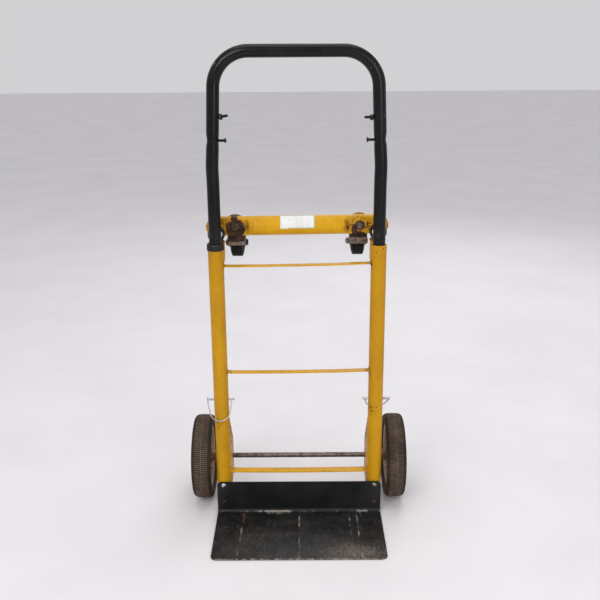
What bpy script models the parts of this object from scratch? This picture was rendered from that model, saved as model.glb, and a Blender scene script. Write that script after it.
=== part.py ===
"""Convertible hand truck, upright mode: a two-wheel sack truck that also lies down as a platform truck.

The truck is modelled in metres, +Z up, standing on its two wheels and its toe plate. +X is to the
right seen from the front, and the load side (the toe plate) faces -Y. Every place below is measured
from the plane of the two uprights; one empty then moves the truck so that the middle of its box over
the floor is the origin.
"""

import math

import bmesh
import bpy
from mathutils import Matrix, Vector

# Driving dimensions, in metres.
GAP = 0.0003                # between solids that touch
TRACK = 0.352               # between the centre lines of the two uprights
TUBE_R = 0.01685            # uprights, handle sockets and their arms: 33.7 mm tube
TUBE_WALL = 0.0026
UPRIGHT_BOTTOM = 0.004
UPRIGHT_TOP = 0.6457

HANDLE_R = 0.01345          # handle: 26.9 mm tube, fits inside the uprights
HANDLE_WALL = 0.0022
HANDLE_TOP = 1.060
HANDLE_BEND_R = 0.073
HANDLE_KINK_Z = 0.815       # above this the legs lean in
HANDLE_LEAN = 0.043         # inwards per metre upwards

WHEEL_R = 0.100
WHEEL_X = 0.2285
WHEEL_WIDTH = 0.046
AXLE_Y = 0.0745
AXLE_R = 0.006
BORE_R = AXLE_R + GAP
HUB_OUT = 0.0133            # the hub's faces, outwards from the middle of the tyre
HUB_IN = -0.0489

# Height, width, thickness and slope: the rungs and the crossbar rise a little to the right.
RUNGS = {"rung_top": (0.6022, 0.016, 0.0025, 0.0160), "rung_middle": (0.3526, 0.016, 0.0025, 0.0090),
         "rung_bottom": (0.1020, 0.020, 0.003, 0.0020)}

TOE_WIDTH = 0.384
TOE_FRONT = -0.209
TOE_HEIGHT = 0.080
TOE_THICK = 0.003
TOE_BEND_R = 0.011
TOE_BOLT_HEIGHTS = {"upper": 0.0715, "lower": 0.0263}

BAR_R = 0.0212              # caster crossbar: 42.4 mm tube, pressed flat towards its ends
BAR_Y = 0.055
BAR_Z = 0.677
BAR_HALF = 0.200
BAR_FLAT = 0.0106
BAR_FLAT_FROM = 0.1125
BAR_ROUND_TO = 0.104
BAR_STEPS = 20
BAR_SLOPE = 0.0100          # upwards per metre to the right
BAR_END_R = 0.0213          # its ends are cut round

SOCKET_Z = 0.6655
SOCKET_FRONT = 0.0238
SOCKET_BACK = 0.0655
CAP_R = 0.0188              # plastic caps on the tube mouths
CAP_BORE = 0.0138
CAP_SKIRT = 0.0097
CAP_NOSE = 0.0047

CASTER_X = 0.137
CASTER_WHEEL_R = 0.032
CASTER_TRAIL = 0.052
CROWN_LOW = -0.050           # bottom edge of the crown plate
CASTER_AXLE_Y = 0.1162
CASTER_CROWN_Y = 0.0775
CASTER_SHEET = 0.0025
CASTER_FORK_HALF = 0.0195
KING_R = 0.005

PIN_R = 0.0028
PIN_Z = 0.284
PIN_OUT = 0.0330            # outwards from the upright's centre line
PIN_IN = 0.0300             # inwards
BAIL_R = 0.00125
BAIL_DROP = 0.0505
BAIL_LEANS = {"left": math.radians(22.5), "right": math.radians(-46.5)}

STUD_LOWER_Z = 0.869
STUD_UPPER_Z = 0.9146

# Colours (linear) with roughness and metallic value.
FINISHES = {
    "yellow_paint": ((0.66, 0.37, 0.02), 0.45, 0.0),
    "black_paint": ((0.012, 0.012, 0.014), 0.35, 0.0),
    "toe_plate_paint": ((0.014, 0.015, 0.017), 0.5, 0.0),
    "black_plastic": ((0.012, 0.012, 0.013), 0.5, 0.0),
    "tyre_rubber": ((0.075, 0.062, 0.052), 0.9, 0.0),
    "cream_plastic": ((0.52, 0.42, 0.32), 0.6, 0.0),
    "caster_rubber": ((0.015, 0.015, 0.015), 0.7, 0.0),
    "bright_steel": ((0.42, 0.42, 0.42), 0.35, 1.0),
    "dull_steel": ((0.22, 0.20, 0.18), 0.55, 1.0),
    "rusty_steel": ((0.12, 0.06, 0.03), 0.8, 0.6),
}

SIDES = {"left": -1, "right": 1}

# Sides of the round pieces: tubes, small pieces such as bolts, tyres, rims and caster wheels.
TUBE_STEPS = 20
SMALL_STEPS = 12
TYRE_STEPS = 32
RIM_STEPS = 20
CASTER_STEPS = 16


def clear_scene():
    for item in list(bpy.data.objects):
        bpy.data.objects.remove(item, do_unlink=True)


def make_collection(name):
    group = bpy.data.collections.new(name)
    bpy.context.scene.collection.children.link(group)
    return group


def make_finish(name):
    colour, roughness, metallic = FINISHES[name]
    finish = bpy.data.materials.new(name)
    finish.use_nodes = True
    shader = finish.node_tree.nodes["Principled BSDF"]
    shader.inputs["Base Color"].default_value = (*colour, 1.0)
    shader.inputs["Roughness"].default_value = roughness
    shader.inputs["Metallic"].default_value = metallic
    return finish


clear_scene()
TRUCK = make_collection("convertible_hand_truck")
CUTTERS = make_collection("cutters")
MATERIALS = {name: make_finish(name) for name in FINISHES}


def make_empty(name, place, parent=None):
    empty = bpy.data.objects.new(name, None)
    empty.empty_display_size = 0.05
    empty.location = place
    empty.parent = parent
    TRUCK.objects.link(empty)
    return empty


def centre_offset():
    """The shift along Y that puts the middle of the truck's box over the origin."""
    back = AXLE_Y + WHEEL_R
    return -(TOE_FRONT + back) / 2


FRAME = make_empty("frame", (0, centre_offset(), 0))


def smooth(mesh):
    mesh.shade_smooth()
    mesh.set_sharp_from_angle(angle=math.radians(35))


def add_object(name, shape, finish, parent=FRAME, place=(0, 0, 0), turn=None):
    """Turn a bmesh into a named object: turn and place are under the parent."""
    mesh = bpy.data.meshes.new(name)
    bmesh.ops.recalc_face_normals(shape, faces=shape.faces)
    shape.to_mesh(mesh)
    shape.free()
    smooth(mesh)
    mesh.materials.append(MATERIALS[finish])
    item = bpy.data.objects.new(name, mesh)
    item.parent = parent
    item.matrix_local = Matrix.Translation(place) @ (turn or Matrix.Identity(4))
    TRUCK.objects.link(item)
    return item


def make_cutter(name, shape, parent=FRAME, place=(0, 0, 0), turn=None):
    cutter = add_object(name, shape, "dull_steel", parent, place, turn)
    TRUCK.objects.unlink(cutter)
    CUTTERS.objects.link(cutter)
    cutter.hide_render = True
    cutter.display_type = "WIRE"
    return cutter


def boolean(item, other, operation):
    change = item.modifiers.new(other.name, "BOOLEAN")
    change.operation = operation
    change.solver = "EXACT"
    change.object = other


# Directions for shapes that are made along Z.
ALONG_X = Matrix.Rotation(math.radians(90), 4, "Y")
ALONG_BACK = Matrix.Rotation(math.radians(-90), 4, "X")
ALONG_FRONT = Matrix.Rotation(math.radians(90), 4, "X")


def facing(side):
    """A shape made along +Z points outwards on that side."""
    return ALONG_X if side > 0 else Matrix.Rotation(math.radians(-90), 4, "Y")


def cylinder(radius, bottom, top, steps=TUBE_STEPS):
    shape = bmesh.new()
    bmesh.ops.create_cone(shape, cap_ends=True, segments=steps, radius1=radius, radius2=radius,
                          depth=top - bottom, matrix=Matrix.Translation((0, 0, (bottom + top) / 2)))
    return shape


def box(size, centre):
    shape = bmesh.new()
    bmesh.ops.create_cube(shape, size=1.0, matrix=Matrix.Translation(centre) @ Matrix.Diagonal((*size, 1)))
    return shape


def hole(item, name, radius, place, turn, reach, parent=FRAME, steps=SMALL_STEPS):
    """Cut a round hole of the given reach to each side of its place."""
    cutter = make_cutter(name, cylinder(radius, -reach, reach, steps), parent, place, turn)
    boolean(item, cutter, "DIFFERENCE")


def turned(name, profile, finish, parent=FRAME, place=(0, 0, 0), turn=None, steps=TUBE_STEPS, closed=True):
    """Turn a profile of (radius, height) points about Z: top to bottom on its outer side."""
    shape = bmesh.new()
    points = [shape.verts.new((radius, 0, height)) for radius, height in profile]
    ends = zip(points, points[1:] + points[:1]) if closed else zip(points, points[1:])
    for first, second in ends:
        shape.edges.new((first, second))
    item = add_object(name, shape, finish, parent, place, turn)
    spin = item.modifiers.new("turn", "SCREW")
    spin.steps = steps
    spin.render_steps = steps
    spin.use_smooth_shade = True
    spin.use_merge_vertices = True
    spin.merge_threshold = 0.00005
    return item


def hollow_tube(name, radius, wall, bottom, top, finish, place=(0, 0, 0), turn=None, steps=TUBE_STEPS):
    profile = [(radius, top), (radius, bottom), (radius - wall, bottom), (radius - wall, top)]
    return turned(name, profile, finish, FRAME, place, turn, steps)


def washer(name, radius, bore, bottom, top, finish, parent=FRAME, place=(0, 0, 0), turn=None):
    profile = [(radius, top), (radius, bottom), (bore, bottom), (bore, top)]
    return turned(name, profile, finish, parent, place, turn)


def hex_nut(name, across, bore, bottom, top, finish, parent=FRAME, place=(0, 0, 0), turn=None):
    corner = across / math.sqrt(3)
    nut = add_object(name, cylinder(corner, bottom, top, 6), finish, parent, place, turn)
    drill = cylinder(bore, bottom - 0.01, top + 0.01, SMALL_STEPS)
    cutter = make_cutter(name + "_bore", drill, parent, place, turn)
    boolean(nut, cutter, "DIFFERENCE")
    return nut


def hex_bolt(name, across, head, shank_r, length, finish, parent, place, turn, flange=0.0):
    """A hexagon bolt: its head stands above z = 0 and its shank runs down to -length."""
    corner = across / math.sqrt(3)
    bolt = add_object(name, cylinder(corner, 0, head, 6), finish, parent, place, turn)
    if flange:
        disc = cylinder(flange, 0.00002, 0.0016, TUBE_STEPS)
        boolean(bolt, make_cutter(name + "_flange", disc, parent, place, turn), "UNION")
    shank = cylinder(shank_r, -length, head / 2, SMALL_STEPS)
    boolean(bolt, make_cutter(name + "_shank", shank, parent, place, turn), "UNION")
    return bolt


def poly_curve(name, points, radius, resolution, caps=True):
    """The mesh of a round wire or tube along a list of points."""
    curve = bpy.data.curves.new(name, "CURVE")
    curve.dimensions = "3D"
    curve.bevel_depth = radius
    curve.bevel_resolution = resolution
    curve.use_fill_caps = caps
    spline = curve.splines.new("POLY")
    spline.points.add(len(points) - 1)
    for knot, point in zip(spline.points, points):
        knot.co = (*point, 1.0)
    guide = bpy.data.objects.new(name + "_guide", curve)
    TRUCK.objects.link(guide)
    bpy.context.view_layer.update()
    mesh = bpy.data.meshes.new_from_object(guide.evaluated_get(bpy.context.evaluated_depsgraph_get()))
    bpy.data.objects.remove(guide, do_unlink=True)
    shape = bmesh.new()
    shape.from_mesh(mesh)
    bpy.data.meshes.remove(mesh)
    bmesh.ops.remove_doubles(shape, verts=shape.verts, dist=0.00001)
    return shape


def flat_outline(points, thickness):
    """A flat sheet in the XY plane, centred on z = 0, from an outline that turns left."""
    shape = bmesh.new()
    face = shape.faces.new([shape.verts.new((x, y, -thickness / 2)) for x, y in points])
    grown = bmesh.ops.extrude_face_region(shape, geom=[face])
    moved = [part for part in grown["geom"] if isinstance(part, bmesh.types.BMVert)]
    bmesh.ops.translate(shape, verts=moved, vec=(0, 0, thickness))
    return shape


def arc(centre, radius, start, end, steps):
    """Points of an arc in a plane, from the start angle to the end angle in degrees."""
    turns = [math.radians(start + (end - start) * step / steps) for step in range(steps + 1)]
    return [(centre[0] + radius * math.cos(turn), centre[1] + radius * math.sin(turn)) for turn in turns]


# Frame -------------------------------------------------------------------------------------------

def make_uprights():
    for side, sign in SIDES.items():
        upright = hollow_tube("upright_" + side, TUBE_R, TUBE_WALL, UPRIGHT_BOTTOM, UPRIGHT_TOP,
                              "yellow_paint", (sign * TRACK / 2, 0, 0))
        hole(upright, "pin_hole_" + side, PIN_R + GAP, (sign * TRACK / 2, 0, PIN_Z), ALONG_X, 0.03)
        for level, height in TOE_BOLT_HEIGHTS.items():
            hole(upright, f"toe_hole_{level}_{side}", 0.0043, (sign * TRACK / 2, 0, height),
                 ALONG_FRONT, 0.03)


def make_rungs():
    length = TRACK - 2 * TUBE_R - 2 * GAP - 0.0001
    for name, (height, width, thick, slope) in RUNGS.items():
        tilt = Matrix.Rotation(-math.atan(slope), 4, "Y")
        bar = box((length, width, thick), (0, 0, 0))
        rung = add_object(name, bar, "yellow_paint", FRAME, (0, 0, height), tilt)
        round_edges(rung, 0.0006)


def round_edges(item, width, segments=1):
    bevel = item.modifiers.new("rounded", "BEVEL")
    bevel.width = width
    bevel.segments = segments
    bevel.limit_method = "ANGLE"


def make_axle_brackets():
    """Upright plates that carry the axle behind the uprights."""
    front, back = 0.0112, 0.0885
    outline = [(front, 0.050), (0.058, 0.050)]
    outline += arc((back - 0.008, 0.066), 0.008, -50, 0, 3)
    outline += arc((back - 0.006, 0.140), 0.006, 0, 55, 3)
    outline += [(front, 0.232)]
    stand = Matrix(((0, 0, 1, 0), (1, 0, 0, 0), (0, 1, 0, 0), (0, 0, 0, 1)))
    for side, sign in SIDES.items():
        place = (sign * 0.1615, 0, 0)
        bracket = add_object("axle_bracket_" + side, flat_outline(outline, 0.003), "yellow_paint",
                             FRAME, place, stand)
        hole(bracket, "axle_hole_" + side, BORE_R, (place[0], AXLE_Y, WHEEL_R), ALONG_X, 0.02)


def make_axle():
    reach = WHEEL_X + 0.0193
    centre = (0, AXLE_Y, WHEEL_R)
    add_object("axle_rod", cylinder(AXLE_R, -reach, reach), "dull_steel", FRAME, centre, ALONG_X)
    for side, sign in SIDES.items():
        outward = facing(sign)
        hollow_tube("axle_spacer_" + side, 0.0095, 0.0032, 0.1634, 0.1790, "dull_steel", centre, outward)
        face = WHEEL_X + HUB_OUT + GAP
        outer = face + 0.0013
        washer("axle_washer_" + side, 0.0105, BORE_R, face, outer, "bright_steel", FRAME, centre, outward)
        seat = face + 0.0017
        cap = [(0.0, seat + 0.0064), (0.0045, seat + 0.0060), (0.0080, seat + 0.0042), (0.0085, seat),
               (BORE_R, seat), (BORE_R, seat + 0.0043), (0.0, seat + 0.0043)]
        turned("axle_cap_" + side, cap, "bright_steel", FRAME, centre, outward, closed=False)


def make_toe_plate():
    """A flat sheet with rounded corners, bent up at its back edge."""
    centre_r = TOE_BEND_R - TOE_THICK / 2
    bend_length = centre_r * math.pi / 2
    bend_y = -TUBE_R - GAP - TOE_BEND_R
    flange = TOE_HEIGHT - TOE_BEND_R
    blade = bend_y - TOE_FRONT
    half = TOE_WIDTH / 2
    front_r, top_r = 0.014, 0.010
    end = bend_length + blade
    outline = arc((half - top_r, top_r - flange), top_r, -90, 0, 4)
    outline += arc((half - front_r, end - front_r), front_r, 0, 90, 5)
    outline += arc((front_r - half, end - front_r), front_r, 90, 180, 5)
    outline += arc((top_r - half, top_r - flange), top_r, 180, 270, 4)
    sheet = bmesh.new()
    sheet.faces.new([sheet.verts.new((x, s, 0)) for x, s in outline])
    bends = 6
    for step in range(bends + 1):
        cut = (0, bend_length * step / bends, 0)
        everything = sheet.verts[:] + sheet.edges[:] + sheet.faces[:]
        bmesh.ops.bisect_plane(sheet, geom=everything, dist=0.00001, plane_co=cut, plane_no=(0, 1, 0))
    for point in sheet.verts:
        point.co = bent(point.co, bend_length, centre_r, bend_y)
    plate = add_object("toe_plate", sheet, "toe_plate_paint")
    solid = plate.modifiers.new("thickness", "SOLIDIFY")
    solid.thickness = TOE_THICK
    solid.offset = 0.0
    for side, sign in SIDES.items():
        for level, height in TOE_BOLT_HEIGHTS.items():
            hole(plate, f"plate_hole_{level}_{side}", 0.0043, (sign * TRACK / 2, -0.02, height),
                 ALONG_FRONT, 0.006)


def bent(point, bend_length, centre_r, bend_y):
    """Where a point of the flat sheet goes: y is the distance along it, 0 at the top of the bend."""
    along = point.y
    if along <= 0:
        return Vector((point.x, bend_y + centre_r, TOE_BEND_R - along))
    if along >= bend_length:
        return Vector((point.x, bend_y - (along - bend_length), TOE_THICK / 2))
    turn = along / centre_r
    return Vector((point.x, bend_y + centre_r * math.cos(turn), TOE_BEND_R - centre_r * math.sin(turn)))


def make_toe_bolts():
    face = -TUBE_R - GAP - TOE_THICK - GAP
    for side, sign in SIDES.items():
        for level, height in TOE_BOLT_HEIGHTS.items():
            centre = (sign * TRACK / 2, 0, height)
            bolt = [(0.0, -face + 0.0026), (0.0030, -face + 0.0023), (0.0050, -face + 0.0012),
                    (0.0056, -face), (0.0040, -face), (0.0040, -0.0245), (0.0, -0.0245)]
            turned(f"toe_bolt_{level}_{side}", bolt, "bright_steel", FRAME, centre, ALONG_FRONT,
                   SMALL_STEPS, closed=False)
            hex_nut(f"toe_nut_{level}_{side}", 0.013, 0.0043, TUBE_R + GAP, TUBE_R + 0.0065,
                    "bright_steel", FRAME, centre, ALONG_BACK)


# Top of the frame ----------------------------------------------------------------------------------

def pressed_tube():
    """An open tube along X, pressed flat front and back beyond its round middle."""
    shape = bmesh.new()
    bmesh.ops.create_cone(shape, cap_ends=False, segments=BAR_STEPS, radius1=BAR_R, radius2=BAR_R,
                          depth=2 * BAR_HALF, matrix=ALONG_X)
    for place in (BAR_ROUND_TO, BAR_FLAT_FROM):
        for sign in (-1, 1):
            everything = shape.verts[:] + shape.edges[:] + shape.faces[:]
            bmesh.ops.bisect_plane(shape, geom=everything, dist=0.00001, plane_co=(sign * place, 0, 0),
                                   plane_no=(1, 0, 0))
    for point in shape.verts:
        if abs(point.co.x) > BAR_FLAT_FROM - 0.001:
            point.co.y = max(-BAR_FLAT, min(BAR_FLAT, point.co.y))
    return shape


def make_crossbar():
    tilt = Matrix.Rotation(-math.atan(BAR_SLOPE), 4, "Y")
    bar = add_object("caster_crossbar", pressed_tube(), "yellow_paint", FRAME, (0, BAR_Y, BAR_Z), tilt)
    solid = bar.modifiers.new("wall", "SOLIDIFY")
    solid.thickness = TUBE_WALL
    solid.offset = -1.0
    middle = BAR_HALF - BAR_END_R
    outline = arc((middle, 0), BAR_END_R, -90, 90, 8) + arc((-middle, 0), BAR_END_R, 90, 270, 8)
    sheet = flat_outline(outline, 0.08)
    ends = make_cutter("round_ends", sheet, FRAME, (0, BAR_Y, BAR_Z), tilt @ ALONG_FRONT)
    boolean(bar, ends, "INTERSECT")
    for side, sign in SIDES.items():
        socket = (sign * TRACK / 2, BAR_Y, socket_height(sign))
        hole(bar, "socket_seat_" + side, TUBE_R + GAP, socket, ALONG_BACK, 0.03, steps=TUBE_STEPS)
        station = (sign * CASTER_X, BAR_Y, caster_height(sign))
        hole(bar, "king_hole_" + side, KING_R + GAP, station, ALONG_BACK, 0.03)


def socket_height(sign):
    return SOCKET_Z + sign * TRACK / 2 * BAR_SLOPE


def caster_height(sign):
    return BAR_Z + sign * CASTER_X * BAR_SLOPE


def make_cap(name, place, turn):
    """A plastic cap over a tube mouth at z = 0, with a bore for the handle's leg."""
    skirt = TUBE_R + GAP
    profile = [(CAP_BORE, CAP_NOSE), (0.0166, CAP_NOSE), (CAP_R, 0.0008), (CAP_R, -CAP_SKIRT),
               (skirt, -CAP_SKIRT), (skirt, GAP), (CAP_BORE, GAP)]
    turned(name, profile, "black_plastic", FRAME, place, turn)


def make_sockets():
    for side, sign in SIDES.items():
        x = sign * TRACK / 2
        height = socket_height(sign)
        hollow_tube("handle_socket_" + side, TUBE_R, TUBE_WALL, SOCKET_FRONT, SOCKET_BACK,
                    "yellow_paint", (x, 0, height), ALONG_BACK)
        make_cap("socket_bush_" + side, (x, SOCKET_FRONT, height), ALONG_FRONT)
        make_socket_arm("socket_arm_" + side, x, height - CAP_R - GAP)
    make_cap("upright_collar_left", (-TRACK / 2, 0, UPRIGHT_TOP), None)


def make_socket_arm(name, x, top):
    """A stub of tube welded up the back of the upright, its foot cut at a slant."""
    bottom = 0.592
    y = TUBE_R + CAP_R + 2 * GAP
    arm = hollow_tube(name, TUBE_R, TUBE_WALL, bottom, top, "yellow_paint", (x, y, 0))
    slant = Matrix.Rotation(math.radians(40), 4, "X")
    block = box((0.06, 0.12, 0.05), (0, 0, -0.025))
    cutter = make_cutter(name + "_slant", block, FRAME, (x, y - TUBE_R, bottom), slant)
    boolean(arm, cutter, "DIFFERENCE")


# Casters -------------------------------------------------------------------------------------------

def make_caster(side, sign):
    centre = (sign * CASTER_X, 0, caster_height(sign))
    swivel = make_empty("caster_swivel_" + side, centre, FRAME)
    steel = "rusty_steel" if side == "left" else "dull_steel"
    bar_front = BAR_Y - BAR_FLAT - GAP
    bar_back = BAR_Y + BAR_FLAT + GAP
    nut_from = CASTER_CROWN_Y + CASTER_SHEET + GAP
    hex_bolt("king_bolt_" + side, 0.0130, 0.0068, KING_R, nut_from + 0.0055 - bar_front, steel, FRAME,
             (centre[0], bar_front, centre[2]), ALONG_FRONT, flange=0.0100)
    hex_nut("king_nut_" + side, 0.0155, KING_R + GAP, nut_from, nut_from + 0.0050, steel, FRAME,
            centre, ALONG_BACK)
    race = [(0.0215, bar_back + 0.0034), (0.0240, bar_back + 0.0026), (0.0240, bar_back),
            (KING_R + GAP, bar_back), (KING_R + GAP, bar_back + 0.0034)]
    turned("caster_race_" + side, race, steel, FRAME, centre, ALONG_BACK)
    make_fork(side, swivel, steel)
    make_caster_wheel(side, swivel)


def make_fork(side, swivel, steel):
    """Bottom race, crown plate and two legs in one: the wheel trails below the king bolt."""
    race_from = BAR_Y + BAR_FLAT + 2 * GAP + 0.0034
    fork = add_object("caster_fork_" + side, cylinder(0.0205, race_from, CASTER_CROWN_Y + 0.0005), steel,
                      swivel, (0, 0, 0), ALONG_BACK)
    half = CASTER_FORK_HALF
    corner = 0.010
    crown = arc((half - corner, 0.018 - corner), corner, 0, 90, 4)
    crown += arc((corner - half, 0.018 - corner), corner, 90, 180, 4)
    crown += [(-half, CROWN_LOW), (half, CROWN_LOW)]
    crown_y = CASTER_CROWN_Y + CASTER_SHEET / 2
    upright = Matrix.Rotation(math.radians(90), 4, "X")
    plate = make_cutter("crown_" + side, flat_outline(crown, CASTER_SHEET), swivel, (0, crown_y, 0), upright)
    boolean(fork, plate, "UNION")
    stand = Matrix(((0, 0, 1, 0), (1, 0, 0, 0), (0, 1, 0, 0), (0, 0, 0, 1)))
    start = CASTER_CROWN_Y + 0.0004
    leg = [(start, 0.006), (start, CROWN_LOW)]
    leg += arc((CASTER_AXLE_Y, -CASTER_TRAIL), 0.010, -110, 40, 6)
    for place in (-half + CASTER_SHEET / 2, half - CASTER_SHEET / 2):
        name = f"leg_{side}_{'inner' if place < 0 else 'outer'}"
        wing = make_cutter(name, flat_outline(leg, CASTER_SHEET - 0.00004), swivel, (place, 0, 0), stand)
        boolean(fork, wing, "UNION")
    hole(fork, "fork_king_hole_" + side, KING_R + GAP, (0, CASTER_CROWN_Y, 0), ALONG_BACK, 0.02, swivel)
    hole(fork, "fork_axle_hole_" + side, 0.0043, (0, CASTER_AXLE_Y, -CASTER_TRAIL), ALONG_X, 0.04, swivel)


def make_caster_wheel(side, swivel):
    axle = make_empty("caster_axle_line_" + side, (0, CASTER_AXLE_Y, -CASTER_TRAIL), swivel)
    outside = CASTER_FORK_HALF + GAP
    hex_bolt("caster_axle_" + side, 0.0125, 0.0045, 0.0040, 2 * outside + 0.0075, "dull_steel", axle,
             (outside, 0, 0), ALONG_X)
    hex_nut("caster_axle_nut_" + side, 0.0130, 0.0043, outside, outside + 0.0060, "dull_steel", axle,
            (0, 0, 0), facing(-1))
    hub = 0.0162
    half_profile = [(0.0043, hub), (0.0150, hub), (0.0220, 0.0150), (0.0300, 0.0125),
                    (CASTER_WHEEL_R, 0.0100)]
    profile = half_profile + [(radius, -height) for radius, height in reversed(half_profile)]
    turned("caster_wheel_" + side, profile, "caster_rubber", axle, (0, 0, 0), ALONG_X, CASTER_STEPS)


# Main wheels ---------------------------------------------------------------------------------------

def make_wheel(side, sign):
    axle = make_empty("wheel_axle_line_" + side, (sign * WHEEL_X, AXLE_Y, WHEEL_R), FRAME)
    half = WHEEL_WIDTH / 2
    bead = 0.0785
    shoulder = [(bead, half - 0.004), (0.087, half), (0.0945, half - 0.0020), (0.0985, half - 0.0080),
                (WHEEL_R, 0.0080)]
    profile = shoulder + [(radius, -height) for radius, height in reversed(shoulder)]
    turned("tyre_" + side, profile, "tyre_rubber", axle, (0, 0, 0), ALONG_X, TYRE_STEPS)
    rim_r = bead - 2 * GAP
    rim = [(BORE_R, HUB_OUT), (0.0150, HUB_OUT), (0.0165, 0.0080), (0.0200, 0.0035), (0.0640, 0.0035),
           (0.0690, 0.0150), (rim_r, 0.0150), (rim_r, -0.0160), (0.0690, -0.0160), (0.0640, -0.0035),
           (0.0180, -0.0050), (0.0125, -0.0300), (0.0115, HUB_IN), (BORE_R, HUB_IN)]
    turned("rim_" + side, rim, "cream_plastic", axle, (0, 0, 0), facing(sign), RIM_STEPS)


# Handle --------------------------------------------------------------------------------------------

def handle_path():
    """The loop in the XZ plane, from the foot of the left leg to the foot of the right one."""
    x = TRACK / 2
    foot = PIN_Z + PIN_R + GAP
    height = HANDLE_TOP - HANDLE_R - HANDLE_BEND_R
    middle = leg_place(height) - HANDLE_BEND_R
    path = [(-x, foot), (-x, 0.62), (-x, HANDLE_KINK_Z)]
    path += arc((-middle, height), HANDLE_BEND_R, 180, 90, 6)
    path += arc((middle, height), HANDLE_BEND_R, 90, 0, 6)
    path += [(x, HANDLE_KINK_Z), (x, 0.62), (x, foot)]
    return [(px, 0, pz) for px, pz in path]


def leg_place(height):
    """How far a leg's centre line is from the middle of the truck at a height."""
    return TRACK / 2 - max(0.0, height - HANDLE_KINK_Z) * HANDLE_LEAN


def make_handle():
    lift = make_empty("handle_lift", (0, 0, 0), FRAME)
    loop = add_object("handle_loop", poly_curve("handle", handle_path(), HANDLE_R, 4, False),
                      "black_paint", lift)
    wall = loop.modifiers.new("wall", "SOLIDIFY")
    wall.thickness = HANDLE_WALL
    wall.offset = -1.0
    for side, sign in SIDES.items():
        inward = facing(-sign)
        for level, height in (("lower", STUD_LOWER_Z), ("upper", STUD_UPPER_Z)):
            place = (sign * (leg_place(height) - HANDLE_R), 0, height)
            hole(loop, f"stud_hole_{level}_{side}", 0.0033, place, ALONG_X, 0.008, lift)
        make_studs(side, sign, lift, inward)


def make_studs(side, sign, lift, inward):
    """Two studs in the inner side of each leg: a headed one, and a bolt with a nut above it."""
    lower_x, upper_x = sign * leg_place(STUD_LOWER_Z), sign * leg_place(STUD_UPPER_Z)
    shank, tip = 0.0030, HANDLE_R + 0.0155
    inside = HANDLE_R - 0.0065
    lower = [(0.0, tip), (0.0038, tip - 0.0005), (0.0052, tip - 0.0018), (0.0052, tip - 0.0040),
             (shank, tip - 0.0042), (shank, inside), (0.0, inside)]
    turned("stud_lower_" + side, lower, "black_paint", lift, (lower_x, 0, STUD_LOWER_Z), inward,
           SMALL_STEPS, closed=False)
    tip = HANDLE_R + 0.0187
    upper = [(0.0, tip), (0.0022, tip - 0.0005), (shank, tip - 0.0018), (shank, inside), (0.0, inside)]
    turned("stud_upper_" + side, upper, "black_paint", lift, (upper_x, 0, STUD_UPPER_Z), inward,
           SMALL_STEPS, closed=False)
    hex_nut("stud_nut_" + side, 0.0110, 0.0033, HANDLE_R + 2 * GAP, HANDLE_R + 0.0068, "black_paint", lift,
            (upper_x, 0, STUD_UPPER_Z), inward)


# Lock pins -----------------------------------------------------------------------------------------

def bail_path():
    """The wire in the plane of z (outwards along the pin) and x (away from it)."""
    near = PIN_R + GAP + BAIL_R + 0.0003
    out, tip = PIN_OUT - 0.0030, -PIN_IN + 0.0075
    middle, radius = (out + tip) / 2 - 0.001, 0.0215
    path = [(near, out), (0.013, out)]
    path += [(BAIL_DROP - radius + radius * math.sin(turn), middle + (radius + 0.001) * math.cos(turn))
             for turn in (math.radians(10 + 160 * step / 9) for step in range(10))]
    path += [(0.013, tip), (near, tip)]
    return path


def make_lock_pin(side, sign):
    line = make_empty("lock_pin_line_" + side, (sign * TRACK / 2, 0, PIN_Z), FRAME)
    inner, outer = -PIN_IN, PIN_OUT
    pin = [(0.0, outer), (0.0036, outer - 0.0004), (0.0042, outer - 0.0014), (0.0042, outer - 0.0018),
           (PIN_R, outer - 0.0020), (PIN_R, inner + 0.0012), (0.0016, inner), (0.0, inner)]
    turned("lock_pin_" + side, pin, "bright_steel", line, (0, 0, 0), facing(sign), SMALL_STEPS, False)
    lean = BAIL_LEANS[side]
    down = Vector((0, -math.sin(lean), -math.cos(lean)))
    points = [down * away + Vector((sign * along, 0, 0)) for away, along in bail_path()]
    wire = poly_curve("bail_" + side, points, BAIL_R, 2)
    add_object("lock_bail_" + side, wire, "bright_steel", line)


make_uprights()
make_rungs()
make_axle_brackets()
make_axle()
make_toe_plate()
make_toe_bolts()
make_crossbar()
make_sockets()
make_handle()
for SIDE, SIGN in SIDES.items():
    make_caster(SIDE, SIGN)
    make_wheel(SIDE, SIGN)
    make_lock_pin(SIDE, SIGN)
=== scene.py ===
"""The looks of the convertible hand truck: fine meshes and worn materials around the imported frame."""
import math

import bmesh
import bpy
from mathutils import Matrix, Vector, noise


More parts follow.
